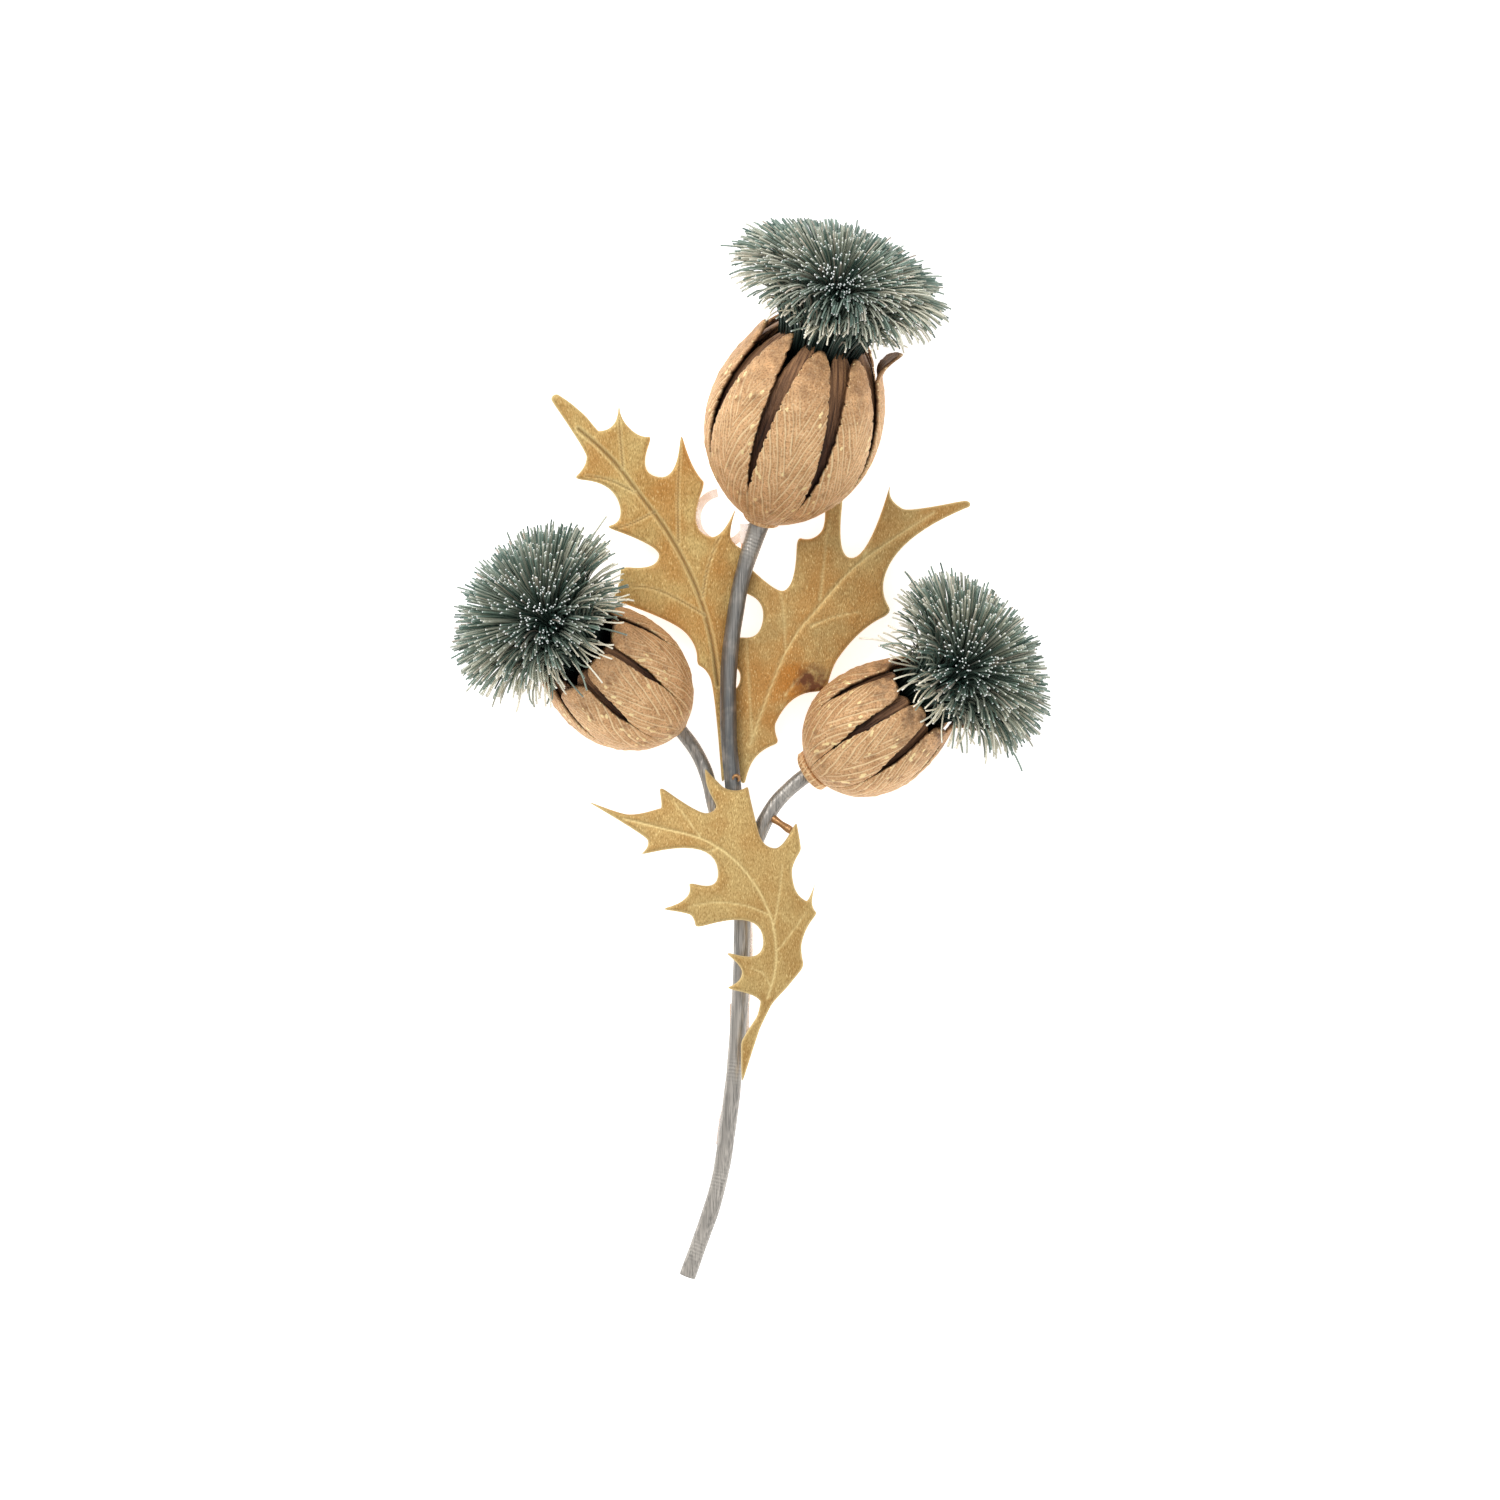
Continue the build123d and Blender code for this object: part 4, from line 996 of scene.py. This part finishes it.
def addLeaf(leaf, rows, veins, surface):
    # A grid of triangles inside the outline
    outline = leafOutline(leaf, rows)
    low, high = outline.min(0), outline.max(0)
    gridUp = np.arange(low[1], high[1], leafSpacing * math.sqrt(3) / 2)
    across, up = np.meshgrid(np.arange(low[0], high[0], leafSpacing), gridUp)
    across = across + np.where(np.arange(len(gridUp)) % 2, leafSpacing / 2, 0)[:, None]
    spots = np.stack([across.ravel(), up.ravel()], -1)
    spots = spots[within(spots, outline)]
    toEdge = distanceTo(spots, outline, np.roll(outline, -1, 0)).min(1)
    spots = np.concatenate([outline, spots[toEdge > 0.5 * leafSpacing]])
    sides = [(index, (index + 1) % len(outline)) for index in range(len(outline))]
    made = delaunay_2d_cdt(spots.tolist(), sides, [], 0, 1e-5)
    flat = np.array([tuple(spot) for spot in made[0]])
    faces = np.array([face for face in made[2] if len(face) == 3])
    faces = faces[within(flat[faces].mean(1), outline)]

    # Cut back from the bulbs: points near a bulb's skin slide onto it and what is inside goes
    def clearance(places):
        height = topOfLeaf(leaf, places[:, 0], places[:, 1]) - leafThickness / 2
        solid = np.concatenate([places, height[:, None]], 1)
        return np.min([bulbDepth(head, solid) for head in heads], 0) - leafGap

    near = clearance(flat)
    step = 0.01
    slope = np.stack([clearance(flat + aside) - near for aside in ((step, 0), (0, step))], -1) / step
    slide = np.abs(near) < 0.6 * leafSpacing
    flat[slide] -= (near / np.maximum((slope ** 2).sum(1), 0.1))[slide, None] * slope[slide]
    faces = faces[clearance(flat[faces].mean(1)) > 0]
    kept = np.unique(faces)
    renumber = np.zeros(len(flat), int)
    renumber[kept] = np.arange(len(kept))
    flat, faces = flat[kept], renumber[faces]
    area = np.cross(flat[faces[:, 1]] - flat[faces[:, 0]], flat[faces[:, 2]] - flat[faces[:, 0]])
    faces = np.where(area[:, None] > 0, faces, faces[:, ::-1])

    # The rim is every edge that only one face has
    edges = np.concatenate([faces[:, [0, 1]], faces[:, [1, 2]], faces[:, [2, 0]]])
    code = np.sort(edges, 1) @ (len(flat), 1)
    _, first, uses = np.unique(code, return_index=True, return_counts=True)
    rim = edges[first[uses == 1]]
    toRim = distanceTo(flat, flat[rim[:, 0]], flat[rim[:, 1]]).min(1)

    # Veins are cut in and all but the first fade out. The more shade a leaf has, the darker its cuts are
    # painted as shade and the paler the metal beside them is painted as highlight; without it the cuts
    # themselves are painted pale as highlight.
    count = len(flat)
    vein, veinHighlight, cutDepth = np.zeros((3, count))
    for number, (cut, width, knots) in enumerate(veins):
        route = cornerCut(knots)
        away = distanceTo(flat, route[:-1], route[1:])
        nearest = away.min(1)
        share = away.argmin(1) / len(route)
        fade = 1 - 0.6 * share if number else 1.0
        cutDepth = np.maximum(cutDepth, cut * fade * bump(nearest, width))
        line = fade * bump(nearest, width * 0.6)
        vein = np.maximum(vein, line * leaf["shade"])
        beside = 0.7 * leaf["shade"] * bump(nearest - 1.4 * width, width * 0.6)
        veinHighlight = np.maximum(veinHighlight, np.maximum(line * (1 - leaf["shade"]), fade * beside))

    # Two sheets, the upper with the relief, joined by a wall along the rim; bare is without relief
    bare = np.column_stack([flat, topOfLeaf(leaf, *flat.T)])
    # The bevel also marks the rim that is painted pale as a highlight
    bevel = np.clip(1 - toRim / bevelWidth, 0, 1) ** 2
    quilt = 0.04 * waves(flat[:, 0] * 1.1, flat[:, 1] * 0.9 + leaf["seed"])
    raised = np.outer(quilt - cutDepth + 0.05 * veinHighlight - 0.2 * bevel, (0, 0, 1))
    lowered = np.outer(leafThickness - 0.16 * bevel, (0, 0, 1))
    wall = np.stack([rim[:, 1], rim[:, 0], rim[:, 0] + count, rim[:, 1] + count], -1)
    glow = leaf["glow"] + 0.9 * (leaf is rightLeaf) * aboutSpot(bare, sootSpot, 4.0)
    values = dict(
        vein=vein, veinHighlight=veinHighlight, edge=bevel, soot=sootAndShadeOn(leaf, bare), glow=glow,
        dusk=np.full(count, leaf["dusk"]))
    skin = dict(
        points=onBrooch(np.concatenate([bare + raised, bare - lowered])),
        faces=[np.concatenate([faces, faces[:, ::-1] + count]), wall],
        values={key: np.tile(item, 2) for key, item in values.items()})
    addPiece(leaf["name"] + "_sheet", leaf["name"], skin, surface)


# Stems, with ridges about some spots whose crests are paler as wear and painted highlight, and the stretch
# over which an end leans to its bulb
ridgeSpots = ((1.6, 22.9), (-0.1, -27.1), (-1.4, -37.6), (-3.4, -44.3), (5.0, -0.5))
ridgePitch = 0.34
leanLength = 1.4


def roundedRoute(points):
    # Straight runs with each corner rounded over just under half its shorter run
    runs = np.diff(points, axis=0)
    lengths = np.linalg.norm(runs, axis=1)
    ways = runs / lengths[:, None]
    reach = 0.45 * np.minimum(lengths[:-1], lengths[1:])[:, None]
    share = np.linspace(0, 1, 9)[:, None, None]
    corner = points[1:-1]
    bends = curved(share, corner - ways[:-1] * reach, corner, corner + ways[1:] * reach)
    return np.concatenate([points[:1], bends.transpose(1, 0, 2).reshape(-1, 3), points[-1:]])


def evenly(route, spacing):
    length = np.concatenate([[0], np.cumsum(np.linalg.norm(np.diff(route, axis=0), axis=1))])
    place = np.linspace(0, length[-1], int(length[-1] / spacing) + 2)
    return np.stack([np.interp(place, length, route[:, axis]) for axis in range(3)], -1), place


def tubeRings(line, radius, columns):
    # Rings square to a line, with radius given for every ring or every point of each ring
    run = unit(np.gradient(line, axis=0))
    aside = unit(np.cross(run, (0, 0, 1.0)))
    over = np.cross(aside, run)
    turns = around(columns)[:, None]
    ring = np.cos(turns) * aside[:, None] - np.sin(turns) * over[:, None]
    return line[:, None] + radius.reshape(len(line), -1, 1) * ring, run


def stemSkin(points, diameter, head, spacing, columns, seed):
    # A drawn stem from its tail or fork to its bulb, with ridges about the spots and fine lines
    line, place = evenly(roundedRoute(points), spacing)
    toEnd = place[-1] - place
    patches = np.max([aboutSpot(line, spot, 1.1) for spot in ridgeSpots], 0)
    swell = 0.5 * np.cos(2 * math.pi * place / ridgePitch)
    radius = diameter / 2 - 0.02 - 0.03 * patches * (0.5 + swell) + 0.015 * waves(place * 0.7)
    if head is mainHead:
        radius = radius + np.clip(1 - toEnd / flareLength, 0, 1) * (flareDiameter - diameter) / 2
    turns = around(columns)
    lines = waves(turns * 9 + seed, turns * 17 + 0.05 * place[:, None])
    rings, run = tubeRings(line, radius[:, None] + 0.012 * lines, columns)

    # The end at the bulb is cut along the bulb's foot: its rings lean over the last stretch
    axis = headAxes(head)[2]
    steep = (run @ axis)[:, None]
    past = (rings - headFoot(head)) @ axis + solderGap + toEnd[:, None] * steep
    lean = np.clip(1 - toEnd / leanLength, 0, 1)[:, None]
    rings = rings - (past * lean / steep)[..., None] * run[:, None]
    # The ridges' crests are painted paler, as wear and as a painted highlight
    wearAndSheen = patches * (0.5 - swell)
    tarnish = np.full(len(line), 0.35)
    if head is mainHead:
        # Dark about the joint and bare at the tail, whose cut end has a shallow recess
        tarnish = np.interp(line[:, 1], (-46, -20, -8, 0, 9, 24), (0.0, 0.15, 0.5, 1.0, 0.85, 0.45))
        hole = recessDiameter / 2
        steps = ((0.35, recessDepth), (hole - 0.06, recessDepth), (hole, recessDepth - 0.06),
                 (hole, 0.05), (hole + 0.05, 0.0), (diameter / 2 - 0.1, 0.0))
        spokes = unit(rings[0] - rings[0].mean(0))
        recess = np.stack([line[0] + spokes * size + run[0] * depth for size, depth in steps])
        rings = np.concatenate([recess, rings])
        wearAndSheen, tarnish = [np.concatenate([np.zeros(len(steps)), item]) for item in (wearAndSheen, tarnish)]
    return ringSkins(rings[None], dict(wearAndSheen=wearAndSheen[:, None], tarnish=tarnish[:, None], solder=0.0))


def solderSkin(line, radius, columns):
    rings, _ = tubeRings(line, radius, columns)
    return ringSkins(rings[None], dict(wearAndSheen=0.0, tarnish=0.0, solder=1.0))


def addStems(surface):
    main = stemSkin(mainPoints, stemDiameter, mainHead, 0.1, 26, 1)
    left = stemSkin(leftPoints, leftStemDiameter, leftHead, 0.15, 22, 2)
    right = stemSkin(rightPoints, rightStemDiameter, rightHead, 0.15, 22, 3)

    # The drop of solder is a thick curl, and the bar a rod that thins where it meets its leaf
    size = beadDiameter / 2
    centre = np.array((*beadPlace, stemHeight + stemDiameter / 2 - 0.05))
    beadLine = centre + turned(np.radians(np.linspace(-60, 200, 30)), 0.62 * size, 0.0)
    plump = np.sqrt(np.sin(np.linspace(0.05, 0.95, 30) * math.pi))
    bead = solderSkin(beadLine, 0.36 * size * plump, 12)
    underLeaf = topOfLeaf(lowerLeaf, *np.array(barEnd)) - leafThickness - leafGap
    ends = np.array(((*barStart, rightPoints[-3, 2]), (*barEnd, underLeaf - barDiameter / 2)))
    barLine, place = evenly(ends, 0.12)
    uneven = 1 + 0.12 * np.sin(place * 3) - 0.1 * bump(place - place[-1], 0.3)
    bar = solderSkin(barLine, barDiameter / 2 * uneven, 18)
    skin = joined([main, left, right, bead, bar])
    skin["points"] = onBrooch(skin["points"])
    addPiece("stems_drawn", "stems", skin, surface)


# Pieces of the object

bractSurface, leafSurface, wireSurface = bractGold(), leafGold(), wireSteel()
stemSurface, pinSurface = stemSteel(), pinGold()
for head in heads:
    addBulb(head, bractSurface)
    addTuft(head, wireSurface)
addLeaf(leftLeaf, leftLeafRows, leftVeins, leafSurface)
addLeaf(rightLeaf, rightLeafRows, rightVeins, leafSurface)
addLeaf(lowerLeaf, lowerLeafRows, lowerVeins, leafSurface)
addStems(stemSurface)
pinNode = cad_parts["pin"]
pinNode.data.materials.clear()
pinNode.data.materials.append(pinSurface)
print("pieces made")


# Floor, light and camera, in metres; the picture's centre and its width on the brooch are measured
floorReach = 2.0
fieldWidth = 142.857 * millimetre
pictureCentre = np.array((-0.0857, -0.0468, 6.0)) * millimetre
cameraDistance = 1.2
sensorWidth = 36.0


def addFloor():
    mesh = bpy.data.meshes.new("floor")
    corners = np.array(((-1, -1, 0), (1, -1, 0), (1, 1, 0), (-1, 1, 0))) * floorReach
    mesh.from_pydata(corners.tolist(), [], [(0, 1, 2, 3)])
    surface, tree = startSurface("pale_floor")
    finishSurface(tree, (0.93, 0.93, 0.93, 1.0), 0.0, 0.9)
    glow = {"Emission Color": (1, 1, 1, 1), "Emission Strength": 0.68}
    fill(tree, tree.nodes["Principled BSDF"], glow)
    mesh.materials.append(surface)
    placed("floor", mesh)


def addLight(name, place, size, power):
    # A round light that faces the middle of the floor
    lamp = bpy.data.lights.new(name, "AREA")
    lamp.shape, lamp.size, lamp.energy = "DISK", size, power
    light = placed(name, lamp)
    light.location = place
    out, up, high = place
    light.rotation_euler = (math.atan2(math.hypot(out, up), high), 0, math.atan2(out, -up))


def addCamera():
    # A long lens straight above
    lens = bpy.data.cameras.new("camera")
    lens.sensor_width, lens.lens = sensorWidth, sensorWidth * cameraDistance / fieldWidth
    lens.clip_start, lens.clip_end = 0.05, 10.0
    camera = placed("camera", lens)
    camera.location = pictureCentre + (0, 0, cameraDistance)
    bpy.context.scene.camera = camera


def addWorld():
    world = bpy.data.worlds.new("studio")
    world.use_nodes = True
    tree = world.node_tree
    fill(tree, tree.nodes["Background"], {"Color": (1, 1, 1, 1), "Strength": 0.6})
    bpy.context.scene.world = world
    bpy.context.scene.view_settings.view_transform = "Standard"


addFloor()
addLight("key", (-0.45, 0.55, 0.8), 0.5, 5.0)
addLight("fill", (0.7, -0.35, 0.8), 0.8, 1.6)
addLight("top", (0.0, 0.0, 1.4), 1.0, 2.0)
addCamera()
addWorld()
print("stage made")
